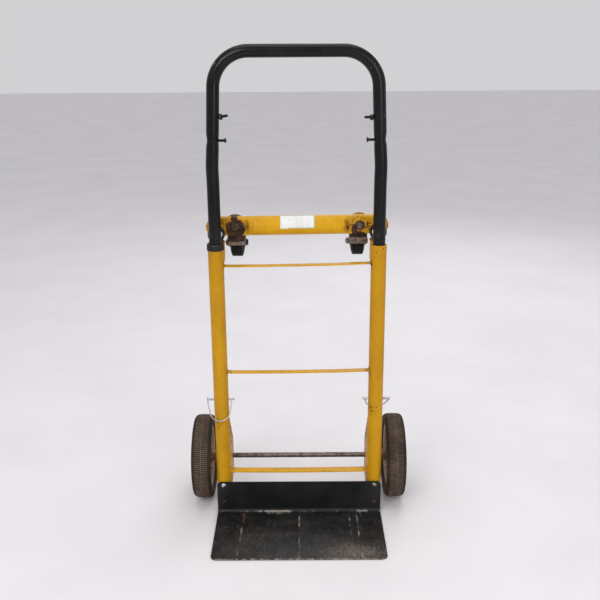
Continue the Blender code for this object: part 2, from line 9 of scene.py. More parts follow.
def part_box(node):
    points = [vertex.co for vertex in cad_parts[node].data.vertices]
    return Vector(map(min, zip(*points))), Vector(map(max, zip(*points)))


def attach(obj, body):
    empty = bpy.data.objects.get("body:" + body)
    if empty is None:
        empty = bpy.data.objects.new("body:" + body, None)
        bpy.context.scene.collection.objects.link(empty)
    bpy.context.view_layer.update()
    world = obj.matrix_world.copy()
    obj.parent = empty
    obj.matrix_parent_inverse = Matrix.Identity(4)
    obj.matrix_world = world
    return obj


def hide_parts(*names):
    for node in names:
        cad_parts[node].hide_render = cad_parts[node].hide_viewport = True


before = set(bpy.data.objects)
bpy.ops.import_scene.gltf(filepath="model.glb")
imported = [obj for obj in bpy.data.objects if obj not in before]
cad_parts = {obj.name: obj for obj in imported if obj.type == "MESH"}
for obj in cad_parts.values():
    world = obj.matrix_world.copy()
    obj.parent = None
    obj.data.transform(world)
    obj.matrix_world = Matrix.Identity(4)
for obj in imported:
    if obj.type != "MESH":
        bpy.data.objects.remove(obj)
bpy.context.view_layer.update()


def sized(node):
    """A CAD node's low and high corners, centre and half size."""
    low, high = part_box(node)
    return low, high, (low + high) / 2, (high - low) / 2


def middle(node):
    return sized(node)[2]


def reach_out(node, start=0.0):
    """Where a side piece begins and ends, going out from the truck's middle and counted from start."""
    low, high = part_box(node)
    near, far = sorted((abs(low.x), abs(high.x)))
    return near - abs(start), far - abs(start)


# Places and sizes that many pieces share, read from the frame.
UPRIGHT = {"left": middle("upright_left"), "right": middle("upright_right")}
PLANE_Y = UPRIGHT["left"].y
TUBE_R = sized("upright_left")[3].x
TUBE_WALL = 0.0026
HANDLE_R = sized("handle_loop")[3].y
AXLE = middle("axle_rod")
AXLE_R = sized("axle_rod")[3].z
AXLE_BORE = AXLE_R + 0.0003      # holes that the axle goes through
SIDES = {"left": -1, "right": 1}
STATIONS = [middle("king_bolt_left"), middle("king_bolt_right")]
CROWN_LOW = -0.05               # a fork crown's lower edge, under its king bolt
PIN_HOLE_R = 0.0031              # cross holes of the uprights, for the lock pins
BAR_SLOPE = (STATIONS[1].z - STATIONS[0].z) / (STATIONS[1].x - STATIONS[0].x)

# Camera and light --------------------

CAMERA_SIDE = 0.0085
CAMERA_BACK = 1.7414
CAMERA_HEIGHT = 1.0864
CAMERA_TILT = 72.01
CAMERA_TURN = 0.107
CAMERA_ROLL = -0.38
CAMERA_LENS = 49.98


def make_camera():
    data = bpy.data.cameras.new("camera")
    data.lens = CAMERA_LENS
    data.sensor_width = 36.0
    camera = bpy.data.objects.new("camera", data)
    camera.location = (CAMERA_SIDE, PLANE_Y - CAMERA_BACK, CAMERA_HEIGHT)
    turns = [Matrix.Rotation(math.radians(angle), 4, axis)
             for angle, axis in ((CAMERA_TURN, "Z"), (CAMERA_TILT, "X"), (CAMERA_ROLL, "Z"))]
    camera.rotation_euler = (turns[0] @ turns[1] @ turns[2]).to_euler()
    bpy.context.scene.collection.objects.link(camera)
    bpy.context.scene.camera = camera


def make_light(name, place, target, size, power, colour=(1, 1, 1)):
    data = bpy.data.lights.new(name, "AREA")
    data.shape = "RECTANGLE"
    data.size, data.size_y = size
    data.energy = power
    data.color = colour
    light = bpy.data.objects.new(name, data)
    light.location = place
    light.rotation_euler = (Vector(target) - Vector(place)).to_track_quat("-Z", "Y").to_euler()
    bpy.context.scene.collection.objects.link(light)


def make_studio():
    make_light("key_light", (-1.2, -2.4, 2.2), (0, 0, 0.4), (1.4, 1.4), 30)
    make_light("fill_light", (1.5, -2.6, 1.2), (0, 0, 0.3), (1.6, 1.6), 17)
    make_light("top_light", (0, 0.2, 3.0), (0, 0, 0), (2.0, 2.0), 17)
    make_light("back_light", (0.8, 2.4, 2.0), (0, 0, 0.6), (1.6, 1.6), 16)
    world = bpy.data.worlds.new("studio_world")
    bpy.context.scene.world = world
    world.use_nodes = True
    sky = world.node_tree.nodes["Background"]
    sky.inputs["Color"].default_value = (0.8, 0.79, 0.81, 1)
    sky.inputs["Strength"].default_value = 0.8
    bpy.context.scene.view_settings.view_transform = "Standard"


# Materials --------------------

class Finish:
    """A Principled material that is built up in short calls; every pattern sits in the object's space."""

    def __init__(self, name, sheen=0.5):
        self.material = bpy.data.materials.new(name)
        self.material.use_nodes = True
        self.tree = self.material.node_tree
        self.shader = self.tree.nodes["Principled BSDF"].inputs
        self.shader["Specular IOR Level"].default_value = sheen
        self.space = self.node("TexCoord").outputs["Object"]

    def node(self, kind, inputs=(), **settings):
        """A new shader node with its settings and its (input, value) pairs."""
        node = self.tree.nodes.new("ShaderNode" + kind)
        for key, value in settings.items():
            setattr(node, key, value)
        for key, value in inputs:
            self.set_input(node.inputs[key], value)
        return node

    def set_input(self, socket, value):
        if isinstance(value, bpy.types.NodeSocket):
            self.tree.links.new(value, socket)
        elif isinstance(value, tuple) and socket.type == "RGBA":
            socket.default_value = (*value, 1.0)
        else:
            socket.default_value = value

    def math(self, kind, first, second, clamp):
        return self.node("Math", ((0, first), (1, second)), operation=kind, use_clamp=clamp).outputs[0]

    def times(self, first, second, clamp=False):
        return self.math("MULTIPLY", first, second, clamp)

    def plus(self, first, second, clamp=False):
        return self.math("ADD", first, second, clamp)

    def less(self, first, second):
        return self.math("SUBTRACT", first, second, False)

    def most(self, first, second):
        return self.math("MAXIMUM", first, second, False)

    def noise(self, scale, detail=3.0, roughness=0.6, stretch=(1, 1, 1), shift=(0, 0, 0)):
        placed = self.node("Mapping", (("Vector", self.space), ("Scale", stretch), ("Location", shift)))
        pattern = (("Vector", placed.outputs[0]), ("Scale", scale), ("Detail", detail),
                   ("Roughness", roughness))
        return self.node("TexNoise", pattern).outputs["Fac"]

    def ramp(self, value, low, high, out_low=0.0, out_high=1.0):
        """A smooth step of a value between two levels."""
        levels = (("Value", value), ("From Min", low), ("From Max", high), ("To Min", out_low),
                  ("To Max", out_high))
        return self.node("MapRange", levels, interpolation_type="SMOOTHSTEP").outputs["Result"]

    def mix(self, share, first, second):
        return self.node("Mix", (("Factor", share), (6, first), (7, second)), data_type="RGBA").outputs[2]

    def blend(self, value, low, high, first, second, top=1.0):
        """From one colour towards another as a value rises; top is the greatest share of the second."""
        return self.mix(self.ramp(value, low, high, 0.0, top), first, second)

    def mask(self, name):
        """A per-vertex number that the mesh code stored."""
        return self.node("Attribute", attribute_name=name).outputs["Fac"]

    def axis(self, letter):
        return self.node("SeparateXYZ", ((0, self.space),)).outputs[letter]

    def bump(self, height, distance, strength):
        bumped = self.node("Bump", (("Distance", distance), ("Strength", strength), ("Height", height)))
        self.tree.links.new(bumped.outputs["Normal"], self.shader["Normal"])

    def finish(self, colour, roughness, metallic=0.0):
        for key, value in (("Base Color", colour), ("Roughness", roughness), ("Metallic", metallic)):
            self.set_input(self.shader[key], value)
        return self.material


RUST_DARK = (0.022, 0.011, 0.007)
RUST_WARM = (0.095, 0.04, 0.018)


def rust_colour(f, shift=0.0):
    blotch = f.noise(90, 5, 0.65, shift=(shift, 0, 0))
    return f.blend(blotch, 0.42, 0.62, RUST_DARK, RUST_WARM)


def make_yellow(name, bright, faded, chip_level, stain):
    """Old yellow enamel: faded patches, grime in streaks, and chips down to rust that grow with wear."""
    f = Finish(name, sheen=0.22)
    wear = f.mask("wear")
    paint = f.blend(f.noise(7, 3), 0.35, 0.68, bright, faded)
    fine = f.noise(60, 4, 0.7)
    paint = f.blend(fine, 0.5, 0.78, paint, (0.3, 0.125, 0.0), 0.3)
    streaks = f.noise(30, 4, 0.7, stretch=(1, 1, 0.16))
    grime = f.times(f.ramp(streaks, 0.52, 0.75), f.plus(wear, 0.35), True)
    paint = f.mix(f.times(grime, 0.55), paint, (0.16, 0.075, 0.012))
    soaked = f.times(f.ramp(wear, 0.15, 0.8), f.ramp(f.noise(38, 4, 0.7, shift=(6, 2, 2)), 0.32, 0.6))
    paint = f.mix(f.times(soaked, stain), paint, (0.27, 0.105, 0.01))
    scuffs = f.noise(45, 3, 0.6, stretch=(5, 5, 0.5), shift=(3, 1, 2))
    paint = f.blend(scuffs, 0.66, 0.74, paint, (0.8, 0.52, 0.1), 0.4)
    chips = f.noise(210, 4, 0.62, shift=(1, 4, 0))
    level = f.less(chip_level, f.times(wear, 0.2))
    mass = f.plus(f.mask("rust"), f.times(f.noise(95, 4, 0.7), 0.5))
    over = f.most(f.less(chips, level), f.times(f.less(mass, 0.62), 0.3))
    bare = f.ramp(over, 0.0, 0.022)
    halo = f.ramp(over, -0.035, 0.02, 0.0, 0.6)
    colour = f.mix(halo, paint, (0.26, 0.095, 0.008))
    colour = f.mix(bare, colour, rust_colour(f))
    peel = f.times(f.noise(260, 2), 0.25)
    f.bump(f.less(peel, bare), 0.00025, 0.7)
    shine = f.plus(f.ramp(fine, 0.3, 0.8, 0.34, 0.52), f.times(bare, 0.35), True)
    return f.finish(colour, shine)


def make_black_paint(name):
    """Satin black handle paint, rubbed to a sheen, with a few chips."""
    f = Finish(name, sheen=0.24)
    wear = f.mask("wear")
    haze = f.noise(14, 4, 0.6, stretch=(1, 1, 0.4))
    paint = f.blend(haze, 0.35, 0.7, (0.0022, 0.0022, 0.0028), (0.006, 0.006, 0.0072))
    dust = f.noise(55, 5, 0.75)
    paint = f.blend(dust, 0.55, 0.82, paint, (0.05, 0.047, 0.045), 0.3)
    chips = f.noise(170, 4, 0.62, shift=(2, 0, 5))
    level = f.less(0.765, f.times(wear, 0.2))
    bare = f.ramp(f.less(chips, level), 0.0, 0.02)
    colour = f.mix(bare, paint, (0.11, 0.085, 0.07))
    f.bump(f.less(f.times(f.noise(210, 2), 0.3), bare), 0.0002, 0.6)
    return f.finish(colour, f.ramp(haze, 0.3, 0.75, 0.17, 0.31))


def make_toe_paint(name):
    """Black blade with long scratches, rubbed ridges and dry tan dirt towards the front."""
    f = Finish(name, sheen=0.3)
    wear = f.mask("wear")
    dirt = f.mask("dirt")
    blade = f.mask("blade")
    haze = f.noise(10, 5, 0.65)
    paint = f.blend(haze, 0.36, 0.68, (0.005, 0.0052, 0.0056), (0.013, 0.0128, 0.0128))
    film = f.ramp(f.noise(24, 5, 0.75, shift=(2, 2, 6)), 0.42, 0.72, 0.0, 0.48)
    paint = f.mix(f.times(film, blade), paint, (0.062, 0.056, 0.05))
    along = f.noise(46, 4, 0.7, stretch=(9, 0.55, 1))
    across = f.noise(40, 4, 0.7, stretch=(0.5, 8, 1), shift=(5, 2, 0))
    slant = f.noise(52, 4, 0.7, stretch=(3.0, 0.5, 1), shift=(1, 7, 0))
    scratches = f.most(f.ramp(along, 0.61, 0.7), f.ramp(across, 0.64, 0.72))
    scratches = f.times(f.most(scratches, f.ramp(slant, 0.64, 0.73)), blade)
    paint = f.mix(f.times(scratches, 0.75), paint, (0.125, 0.118, 0.112))
    rub = f.noise(95, 5, 0.72, stretch=(1.0, 0.6, 1))
    # The wear mask also holds a band along the fold, so this lighter colour there is a painted highlight,
    # stronger where the paint is rubbed.
    worn = f.ramp(f.plus(rub, f.times(wear, 0.5)), 0.68, 0.92)
    colour = f.mix(f.times(worn, 0.85), paint, (0.3, 0.265, 0.23))
    crumbs = f.noise(230, 5, 0.75, shift=(0, 3, 3))
    dust = f.ramp(f.plus(crumbs, f.times(dirt, 0.28)), 0.62, 0.84)
    colour = f.mix(f.times(dust, 0.62), colour, (0.225, 0.185, 0.15))
    brown = f.mask("brown")
    colour = f.mix(f.times(brown, f.ramp(rub, 0.36, 0.56)), colour, (0.06, 0.03, 0.018))
    f.bump(f.less(f.times(dust, 0.6), scratches), 0.0002, 0.5)
    rough = f.plus(f.ramp(haze, 0.3, 0.7, 0.36, 0.5), f.times(dust, 0.3), True)
    return f.finish(colour, rough)


def make_plastic(name, dark, pale, roughness, dirt_colour):
    f = Finish(name, sheen=0.28)
    tone = f.noise(22, 4, 0.6)
    colour = f.blend(tone, 0.35, 0.7, dark, pale)
    grime = f.noise(48, 5, 0.75, shift=(4, 4, 1))
    colour = f.blend(grime, 0.5, 0.76, colour, dirt_colour, 0.55)
    f.bump(f.noise(320, 3), 0.00012, 0.5)
    return f.finish(colour, f.ramp(grime, 0.3, 0.8, roughness, roughness + 0.2))


def make_tyre_rubber(name):
    """Brown-grey dusty rubber: dust lies on the ribs, and the grooves are painted darker as shade."""
    f = Finish(name, sheen=0.2)
    high = f.mask("high")
    base = f.blend(f.noise(16, 4, 0.65), 0.35, 0.7, (0.012, 0.0085, 0.0065), (0.034, 0.024, 0.018))
    dust = f.ramp(f.noise(85, 5, 0.75), 0.36, 0.74)
    top = f.mix(dust, (0.105, 0.073, 0.052), (0.185, 0.13, 0.096))
    colour = f.mix(f.times(high, f.ramp(f.noise(30, 3), 0.28, 0.6, 0.45, 1.0)), base, top)
    f.bump(f.noise(420, 4, 0.7), 0.0003, 0.6)
    return f.finish(colour, f.ramp(dust, 0, 1, 0.78, 0.95))


def make_rubber(name):
    f = Finish(name, sheen=0.2)
    colour = f.blend(f.noise(40, 4, 0.7), 0.42, 0.72, (0.004, 0.0038, 0.0036), (0.014, 0.012, 0.01))
    f.bump(f.noise(500, 3), 0.00015, 0.5)
    return f.finish(colour, f.ramp(f.noise(60, 3), 0.3, 0.7, 0.55, 0.75))


def make_steel(name, pale, dark, rust, roughness):
    """Zinc or bare steel with tarnish; rust is the share of its surface that has rusted."""
    f = Finish(name)
    tarnish = f.noise(70, 5, 0.7)
    steel = f.blend(tarnish, 0.35, 0.7, pale, dark)
    patches = f.noise(110, 5, 0.7, shift=(7, 3, 1))
    rusted = f.ramp(patches, 0.72 - rust, 0.8 - rust)
    colour = f.mix(rusted, steel, rust_colour(f, 3.0))
    f.bump(f.plus(f.times(rusted, 0.7), f.noise(380, 3)), 0.00015, 0.6)
    shine = f.plus(f.ramp(tarnish, 0.3, 0.7, roughness, roughness + 0.15),
                   f.times(rusted, 0.4), True)
    return f.finish(colour, shine, f.ramp(rusted, 0, 1, 1.0, 0.1))


def make_sprayed_steel(name, lip):
    """Caster steel that caught yellow overspray; rust covers a fork's crown down to its bare lower lip."""
    f = Finish(name)
    steel = f.blend(f.noise(80, 5, 0.7), 0.35, 0.7, (0.3, 0.26, 0.23), (0.09, 0.065, 0.05))
    over = f.mask("overspray")
    spray = f.ramp(f.plus(f.noise(60, 4, 0.7), f.times(over, 0.4)), 0.66, 0.84)
    colour = f.mix(spray, steel, (0.46, 0.235, 0.012))
    edge = (STATIONS[0].z + STATIONS[1].z) / 2 + CROWN_LOW + lip
    above = f.times(f.ramp(f.axis("Z"), edge - 0.001, edge + 0.003), f.mask("rust"))
    patches = f.plus(f.noise(120, 5, 0.7, shift=(2, 8, 1)), f.times(above, 0.4))
    rusted = f.ramp(patches, 0.56, 0.66)
    colour = f.mix(rusted, colour, rust_colour(f, 1.0))
    f.bump(f.plus(rusted, f.noise(300, 3)), 0.0002, 0.6)
    covered = f.most(spray, rusted)
    return f.finish(colour, f.ramp(rusted, 0, 1, 0.42, 0.8), f.ramp(covered, 0, 1, 1.0, 0.05))


def make_paper(name, colour, tint):
    f = Finish(name)
    shade = f.blend(f.noise(70, 4, 0.7), 0.4, 0.75, colour, tint)
    f.bump(f.noise(600, 3), 0.00005, 0.4)
    return f.finish(shade, f.ramp(f.noise(40, 3), 0.3, 0.7, 0.55, 0.7))


def make_floor_finish():
    f = Finish("studio_floor_paint")
    shade = f.blend(f.noise(3, 3), 0.3, 0.7, (0.76, 0.745, 0.765), (0.8, 0.785, 0.805))
    return f.finish(shade, f.ramp(f.noise(5, 3), 0.3, 0.7, 0.6, 0.7))


YELLOW = make_yellow("worn_yellow_enamel", (0.565, 0.285, 0.002), (0.485, 0.238, 0.001), 0.705, 0.15)
# A lighter copy of the same yellow enamel for the rungs, cross bar and sockets: its brighter base is painted
# light, for the light their upward faces catch. It also has more rust stain and chips.
YELLOW_PAINTED_LIGHTER = make_yellow("rusty_yellow_enamel_painted_lighter", (0.655, 0.342, 0.004), (0.575, 0.292, 0.002), 0.69, 0.75)
BLACK = make_black_paint("rubbed_black_paint")
TOE = make_toe_paint("scratched_black_blade")
PLASTIC = make_plastic("black_cap_plastic", (0.008, 0.008, 0.008), (0.02, 0.019, 0.018), 0.38,
                       (0.06, 0.05, 0.04))
CREAM = make_plastic("dirty_cream_plastic", (0.33, 0.225, 0.155), (0.46, 0.335, 0.245), 0.5,
                     (0.16, 0.095, 0.058))
TYRE = make_tyre_rubber("dusty_tyre_rubber")
RUBBER = make_rubber("caster_rubber")
ZINC = make_steel("zinc_plate", (0.56, 0.56, 0.56), (0.32, 0.31, 0.3), 0.02, 0.25)
STEEL = make_steel("tarnished_steel", (0.36, 0.335, 0.31), (0.13, 0.11, 0.095), 0.11, 0.36)
AXLE_STEEL = make_steel("greasy_axle_steel", (0.24, 0.2, 0.175), (0.075, 0.062, 0.054), 0.13, 0.42)
RUSTY = make_steel("rusted_steel", (0.12, 0.085, 0.065), (0.045, 0.03, 0.022), 0.24, 0.5)
SPRAYED = {"left": make_sprayed_steel("rusted_caster_steel", 0.007),
           "right": make_sprayed_steel("oversprayed_steel", 0.015)}
PAPER = make_paper("blank_label_paper", (0.8, 0.8, 0.78), (0.66, 0.65, 0.62))
GREEN = make_paper("label_border_green", (0.3, 0.52, 0.33), (0.25, 0.44, 0.28))


# Mesh helpers --------------------

SHARP_EDGE = math.radians(38)    # faces that meet at more than this look like an edge
WELD_GAP = 0.000004              # points closer than this become one


def piece(name, shape, material, body, *nodes, **masks):
    """A finished piece in the row frame: it rides on its body, stands for its CAD nodes and has its masks."""
    bmesh.ops.remove_doubles(shape, verts=shape.verts, dist=WELD_GAP)
    bmesh.ops.recalc_face_normals(shape, faces=shape.faces)
    mesh = bpy.data.meshes.new(name)
    shape.to_mesh(mesh)
    shape.free()
    mesh.shade_smooth()
    mesh.set_sharp_from_angle(angle=SHARP_EDGE)
    mesh.materials.append(material)
    item = bpy.data.objects.new(name, mesh)
    bpy.context.scene.collection.objects.link(item)
    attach(item, body)
    if nodes:
        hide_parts(*nodes)
    for mask, value in masks.items():
        store(item, mask, lambda point: value)
    return item


def settle(item):
    """Turn a piece's modifiers into its mesh."""
    graph = bpy.context.evaluated_depsgraph_get()
    graph.update()
    mesh = bpy.data.meshes.new_from_object(item.evaluated_get(graph))
    item.modifiers.clear()
    item.data = mesh
    mesh.shade_smooth()
    mesh.set_sharp_from_angle(angle=SHARP_EDGE)


def soften(item, width, segments=3):
    bevel = item.modifiers.new("edges", "BEVEL")
    bevel.width = width
    bevel.segments = segments
    bevel.limit_method = "ANGLE"
    bevel.angle_limit = math.radians(40)
    settle(item)


def combine(item, shape, operation):
    """Boolean a bmesh into a piece, at once."""
    mesh = bpy.data.meshes.new("tool")
    bmesh.ops.recalc_face_normals(shape, faces=shape.faces)
    shape.to_mesh(mesh)
    shape.free()
    tool = bpy.data.objects.new("tool", mesh)
    bpy.context.scene.collection.objects.link(tool)
    change = item.modifiers.new("tool", "BOOLEAN")
    change.operation = operation
    change.object = tool
    settle(item)
    bpy.data.objects.remove(tool, do_unlink=True)


def store(item, name, rule):
    """Keep a number for each vertex, worked out by a rule from its place."""
    values = [max(0.0, min(1.0, rule(point.co))) for point in item.data.vertices]
    layer = item.data.attributes.get(name) or item.data.attributes.new(name, "FLOAT", "POINT")
    layer.data.foreach_set("value", values)


def spots(*places):
    """A rule that is 1 at each (point, radius) and falls to 0 at its radius."""
    def rule(point):
        return max((1 - min(1, (point - Vector(place)).length / radius)) for place, radius in places)
    return rule


def rings_to_mesh(rings, closed=False):
    """Skin between rings of points that all have the same count."""
    shape = bmesh.new()
    rows = [[shape.verts.new(point) for point in ring] for ring in rings]
    pairs = list(zip(rows, rows[1:])) + ([(rows[-1], rows[0])] if closed else [])
    for first, second in pairs:
        for index in range(len(first)):
            after = (index + 1) % len(first)
            shape.faces.new((first[index], first[after], second[after], second[index]))
    if not closed:
        shape.faces.new(rows[0])
        shape.faces.new(list(reversed(rows[-1])))
    return shape


def lathe(profile, centre, axis, steps=64, closed=True, wobble=None):
    """Turn (radius, distance along the axis) points about an axis through a centre."""
    along = Vector(axis).normalized()
    side = along.orthogonal().normalized()
    up = along.cross(side)
    centre = Vector(centre)
    rings = []
    for radius, distance in profile:
        ring = []
        for step in range(steps):
            turn = 2 * math.pi * step / steps
            reach = radius + (wobble(radius, distance, turn) if wobble else 0)
            ring.append(centre + along * distance + (side * math.cos(turn) + up * math.sin(turn)) * reach)
        rings.append(ring)
    return rings_to_mesh(rings, closed)


def rounded(corners, radius, steps=3):
    """A closed profile of (radius, distance) corners with each corner rounded."""
    points = []
    count = len(corners)
    for index in range(count):
        before, here, after = (Vector(corners[(index + k) % count]) for k in (-1, 0, 1))
        reach = min(radius, (before - here).length * 0.45, (after - here).length * 0.45)
        start = here + (before - here).normalized() * reach
        end = here + (after - here).normalized() * reach
        for step in range(steps + 1):
            t = step / steps
            points.append(tuple((1 - t) ** 2 * start + 2 * t * (1 - t) * here + t * t * end))
    return points


def sweep(path, radius, sides=32, bulge=None):
    """A round bar along a path; bulge moves a surface point along its normal."""
    path = [Vector(point) for point in path]
    rings = []
    normal = None
    for index, point in enumerate(path):
        before, after = path[max(index - 1, 0)], path[min(index + 1, len(path) - 1)]
        tangent = (after - before).normalized()
        if normal is None:
            normal = tangent.orthogonal().normalized()
        normal = (normal - tangent * normal.dot(tangent)).normalized()
        other = tangent.cross(normal)
        ring = []
        for side in range(sides):
            turn = 2 * math.pi * side / sides
            out = normal * math.cos(turn) + other * math.sin(turn)
            reach = radius + (bulge(point, out) if bulge else 0)
            ring.append(point + out * reach)
        rings.append(ring)
    return rings_to_mesh(rings)


def hexagon(across, bottom, top, centre, axis, chamfer=0.0012, bore=0.0):
    """A nut or bolt head with its corners turned off, round a bore if it has one."""
    corner = across / math.sqrt(3)
    profile = [(corner - chamfer, bottom), (corner, bottom + chamfer * 0.7), (corner, top - chamfer * 0.7),
               (corner - chamfer, top)]
    if bore:
        profile += [(bore, top), (bore, bottom)]

    def flats(radius, distance, turn):
        flat = (across / 2) / math.cos((turn + math.pi / 6) % (math.pi / 3) - math.pi / 6)
        return min(flat - radius, 0.0)

    return lathe(profile, centre, axis, 48, bool(bore), flats)


def extruded(outline, place, thickness, across, upward):
    """A flat plate: outline points (a, b) lie along two directions from a place."""
    across, upward, place = Vector(across), Vector(upward), Vector(place)
    normal = across.cross(upward)
    rings = [[place + across * a + upward * b + normal * shift for a, b in outline]
             for shift in (-thickness / 2, thickness / 2)]
    return rings_to_mesh(rings)


def arc(centre, radius, start, end, steps):
    turns = [math.radians(start + (end - start) * step / steps) for step in range(steps + 1)]
    return [(centre[0] + radius * math.cos(turn), centre[1] + radius * math.sin(turn)) for turn in turns]


def joined(*shapes):
    """Several separate bodies in one bmesh."""
    whole = bmesh.new()
    for shape in shapes:
        mesh = bpy.data.meshes.new("part")
        shape.to_mesh(mesh)
        shape.free()
        whole.from_mesh(mesh)
        bpy.data.meshes.remove(mesh)
    return whole


def drill(item, radius, reach, place, axis, steps):
    """A round hole through a piece."""
    tool = lathe([(radius, -reach), (radius, reach)], place, axis, steps, closed=False)
    combine(item, tool, "DIFFERENCE")


def oval(across, upward, width, height):
    """How far out a place is, in sizes of an oval round its origin."""
    return math.hypot(across / width, upward / height)


def weld(path, radius, seed):
    """A lumpy weld bead along a path."""
    def bulge(point, out):
        ripple = noise.noise((point + out * 0.003 + Vector((seed, 0, 0))) * 420)
        return ripple * radius * 0.55
    return sweep(path, radius, 10, bulge)


def round_path(centre, radius, start, end, steps, across, upward):
    centre, across, upward = Vector(centre), Vector(across), Vector(upward)
    return [centre + across * a + upward * b for a, b in arc((0, 0), radius, start, end, steps)]


X, Y, Z = Vector((1, 0, 0)), Vector((0, 1, 0)), Vector((0, 0, 1))


# Frame --------------------

def long_tube(outer, wall, bottom, top, centre, axis, rows=90):
    """A hollow tube with many rings along its outside, so that wear can vary along it."""
    outside = [(outer, bottom + (top - bottom) * (0.002 + 0.996 * row / rows)) for row in range(rows + 1)]
    inner = outer - wall
    rim = wall * 0.3
    profile = [(outer - rim, bottom)] + outside + [(outer - rim, top), (inner, top), (inner, bottom)]
    return lathe(profile, centre, axis, 48)


RUNG_THICKNESS = {"rung_top": 0.0025, "rung_middle": 0.0025, "rung_bottom": 0.003}


def build_uprights():
    pin = middle("lock_pin_left").z
    rungs = [middle(name).z for name in RUNG_THICKNESS]
    for side, sign in SIDES.items():
        low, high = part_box("upright_" + side)
        centre = (UPRIGHT[side].x, PLANE_Y, 0)
        tube = piece("upright_tube_" + side, long_tube(TUBE_R, TUBE_WALL, low.z, high.z, centre, Z), YELLOW,
                     "frame", "upright_" + side)
        drill(tube, PIN_HOLE_R, 0.03, (centre[0], PLANE_Y, pin), X, 24)
        specks = (centre[0] - 0.012, PLANE_Y - TUBE_R, 0.25 + sign * 0.015)
        worn = [((centre[0] - sign * TUBE_R, PLANE_Y, height), 0.022) for height in rungs]
        worn += [((centre[0], PLANE_Y, high.z), 0.036), ((centre[0] + sign * TUBE_R, PLANE_Y, pin), 0.01),
                 ((centre[0], PLANE_Y, low.z), 0.07), (specks, 0.026)]
        store(tube, "wear", spots(*worn))


def rung_end(name, sign):
    """The height of a rung's end; the rungs rise a little to the right."""
    low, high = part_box(name)
    thick = RUNG_THICKNESS[name] / 2
    return high.z - thick if sign > 0 else low.z + thick


def build_rungs():
    for name in RUNG_THICKNESS:
        centre, half = sized(name)[2:]
        thick = RUNG_THICKNESS[name] / 2
        reach = half.x + 0.0016
        corners = [(-half.y, -thick), (half.y, -thick), (half.y, thick), (-half.y, thick)]
        section = rounded(corners, 0.0009, 2)
        rings = []
        columns = 60
        for column in range(columns + 1):
            x = -reach + 2 * reach * column / columns
            rise = (half.z - thick) * x / half.x
            sag = 0.0016 * (1 - (x / reach) ** 2) + 0.0003 * noise.noise(Vector((x * 18, centre.z * 40, 0)))
            rings.append([Vector((x, centre.y + a, centre.z + b + rise - sag)) for a, b in section])
        # The rungs take the lighter yellow copy, whose brighter base paints in the light on their top faces.
        rung = piece(name + "_bar", rings_to_mesh(rings), YELLOW_PAINTED_LIGHTER, "frame", name)
        near_ends = spots(*[((sign * reach, centre.y, centre.z), 0.022) for sign in (-1, 1)])
        # The undersides get more of this mask than the tops, so they come out darker.
        store(rung, "wear", lambda point: max(near_ends(point), 0.25 if point.z < centre.z else 0.1))


def build_rung_welds():
    shapes = []
    for name in RUNG_THICKNESS:
        centre, half = sized(name)[2:]
        for side, sign in SIDES.items():
            for level in (-1, 1):
                height = rung_end(name, sign) + level * (RUNG_THICKNESS[name] / 2 + 0.0006)
                path = []
                for step in range(7):
                    y = -half.y + 2 * half.y * step / 6
                    face = UPRIGHT[side].x - sign * math.sqrt(TUBE_R ** 2 - y ** 2)
                    path.append((face - sign * 0.0006, centre.y + y, height))
                shapes.append(weld(path, 0.0017, len(shapes)))
    piece("rung_weld_beads", joined(*shapes), YELLOW, "frame", wear=0.75)


def build_brackets():
    for side in SIDES:
        name = "axle_bracket_" + side
        low, high, centre, _ = sized(name)
        outline = [(low.y, low.z), (low.y + 0.0468, low.z)]
        outline += arc((high.y - 0.008, low.z + 0.016), 0.008, -50, 0, 5)
        outline += arc((high.y - 0.006, low.z + 0.09), 0.006, 0, 55, 5)
        outline += [(low.y, high.z)]
        plate = extruded(outline, (centre.x, 0, 0), high.x - low.x, Y, Z)
        bracket = piece(name + "_plate", plate, YELLOW, "frame", name)
        drill(bracket, AXLE_BORE, 0.01, (centre.x, AXLE.y, AXLE.z), X, 32)
        soften(bracket, 0.0006)
        # Wear and rust spots along the slanted top edge paint a dark band there, as painted shade under that
        # edge.
        worn = [((centre.x, low.y + 0.012 * k, high.z - 0.0145 * k), 0.016) for k in range(7)]
        store(bracket, "wear", spots(*worn, ((centre.x, AXLE.y, AXLE.z), 0.025)))
        slant = spots(*[(place, 0.009) for place, _ in worn])
        store(bracket, "rust", lambda point: 0.55 * slant(point))
    build_bracket_welds()


def build_bracket_welds():
    shapes = []
    for side in SIDES:
        low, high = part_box("axle_bracket_" + side)
        for face in (low.x, high.x):
            depth = math.sqrt(TUBE_R ** 2 - (face - UPRIGHT[side].x) ** 2)
            for start, end in ((high.z - 0.045, high.z - 0.002), (low.z + 0.002, low.z + 0.04)):
                y = PLANE_Y + depth + 0.0002
                path = [(face, y, start + (end - start) * step / 14) for step in range(15)]
                shapes.append(weld(path, 0.0018, len(shapes)))
    piece("bracket_weld_beads", joined(*shapes), YELLOW, "frame", wear=0.7)


def build_axle():
    reach = sized("axle_rod")[3].x
    rod = lathe([(AXLE_R - 0.001, -reach), (AXLE_R, 0.001 - reach)]
                + [(AXLE_R, -0.2 + 0.4 * step / 20) for step in range(21)]
                + [(AXLE_R, reach - 0.001), (AXLE_R - 0.001, reach)], AXLE, X, 40, closed=False)
    piece("axle_bar", rod, AXLE_STEEL, "frame", "axle_rod")
    for side, sign in SIDES.items():
        build_axle_ring("axle_spacer_" + side, "axle_spacer_sleeve_" + side, STEEL, 0.0006)
        build_axle_ring("axle_washer_" + side, "axle_washer_disc_" + side, ZINC, 0.0004)
        build_axle_cap(side, sign)


def build_axle_ring(node, name, material, edge):
    """A ring round the axle in the place and size of a CAD node."""
    centre, half = sized(node)[2:]
    profile = rounded([(half.z, -half.x), (half.z, half.x), (AXLE_BORE, half.x), (AXLE_BORE, -half.x)], edge, 3)
    piece(name, lathe(profile, centre, X, 56), material, "frame", node)


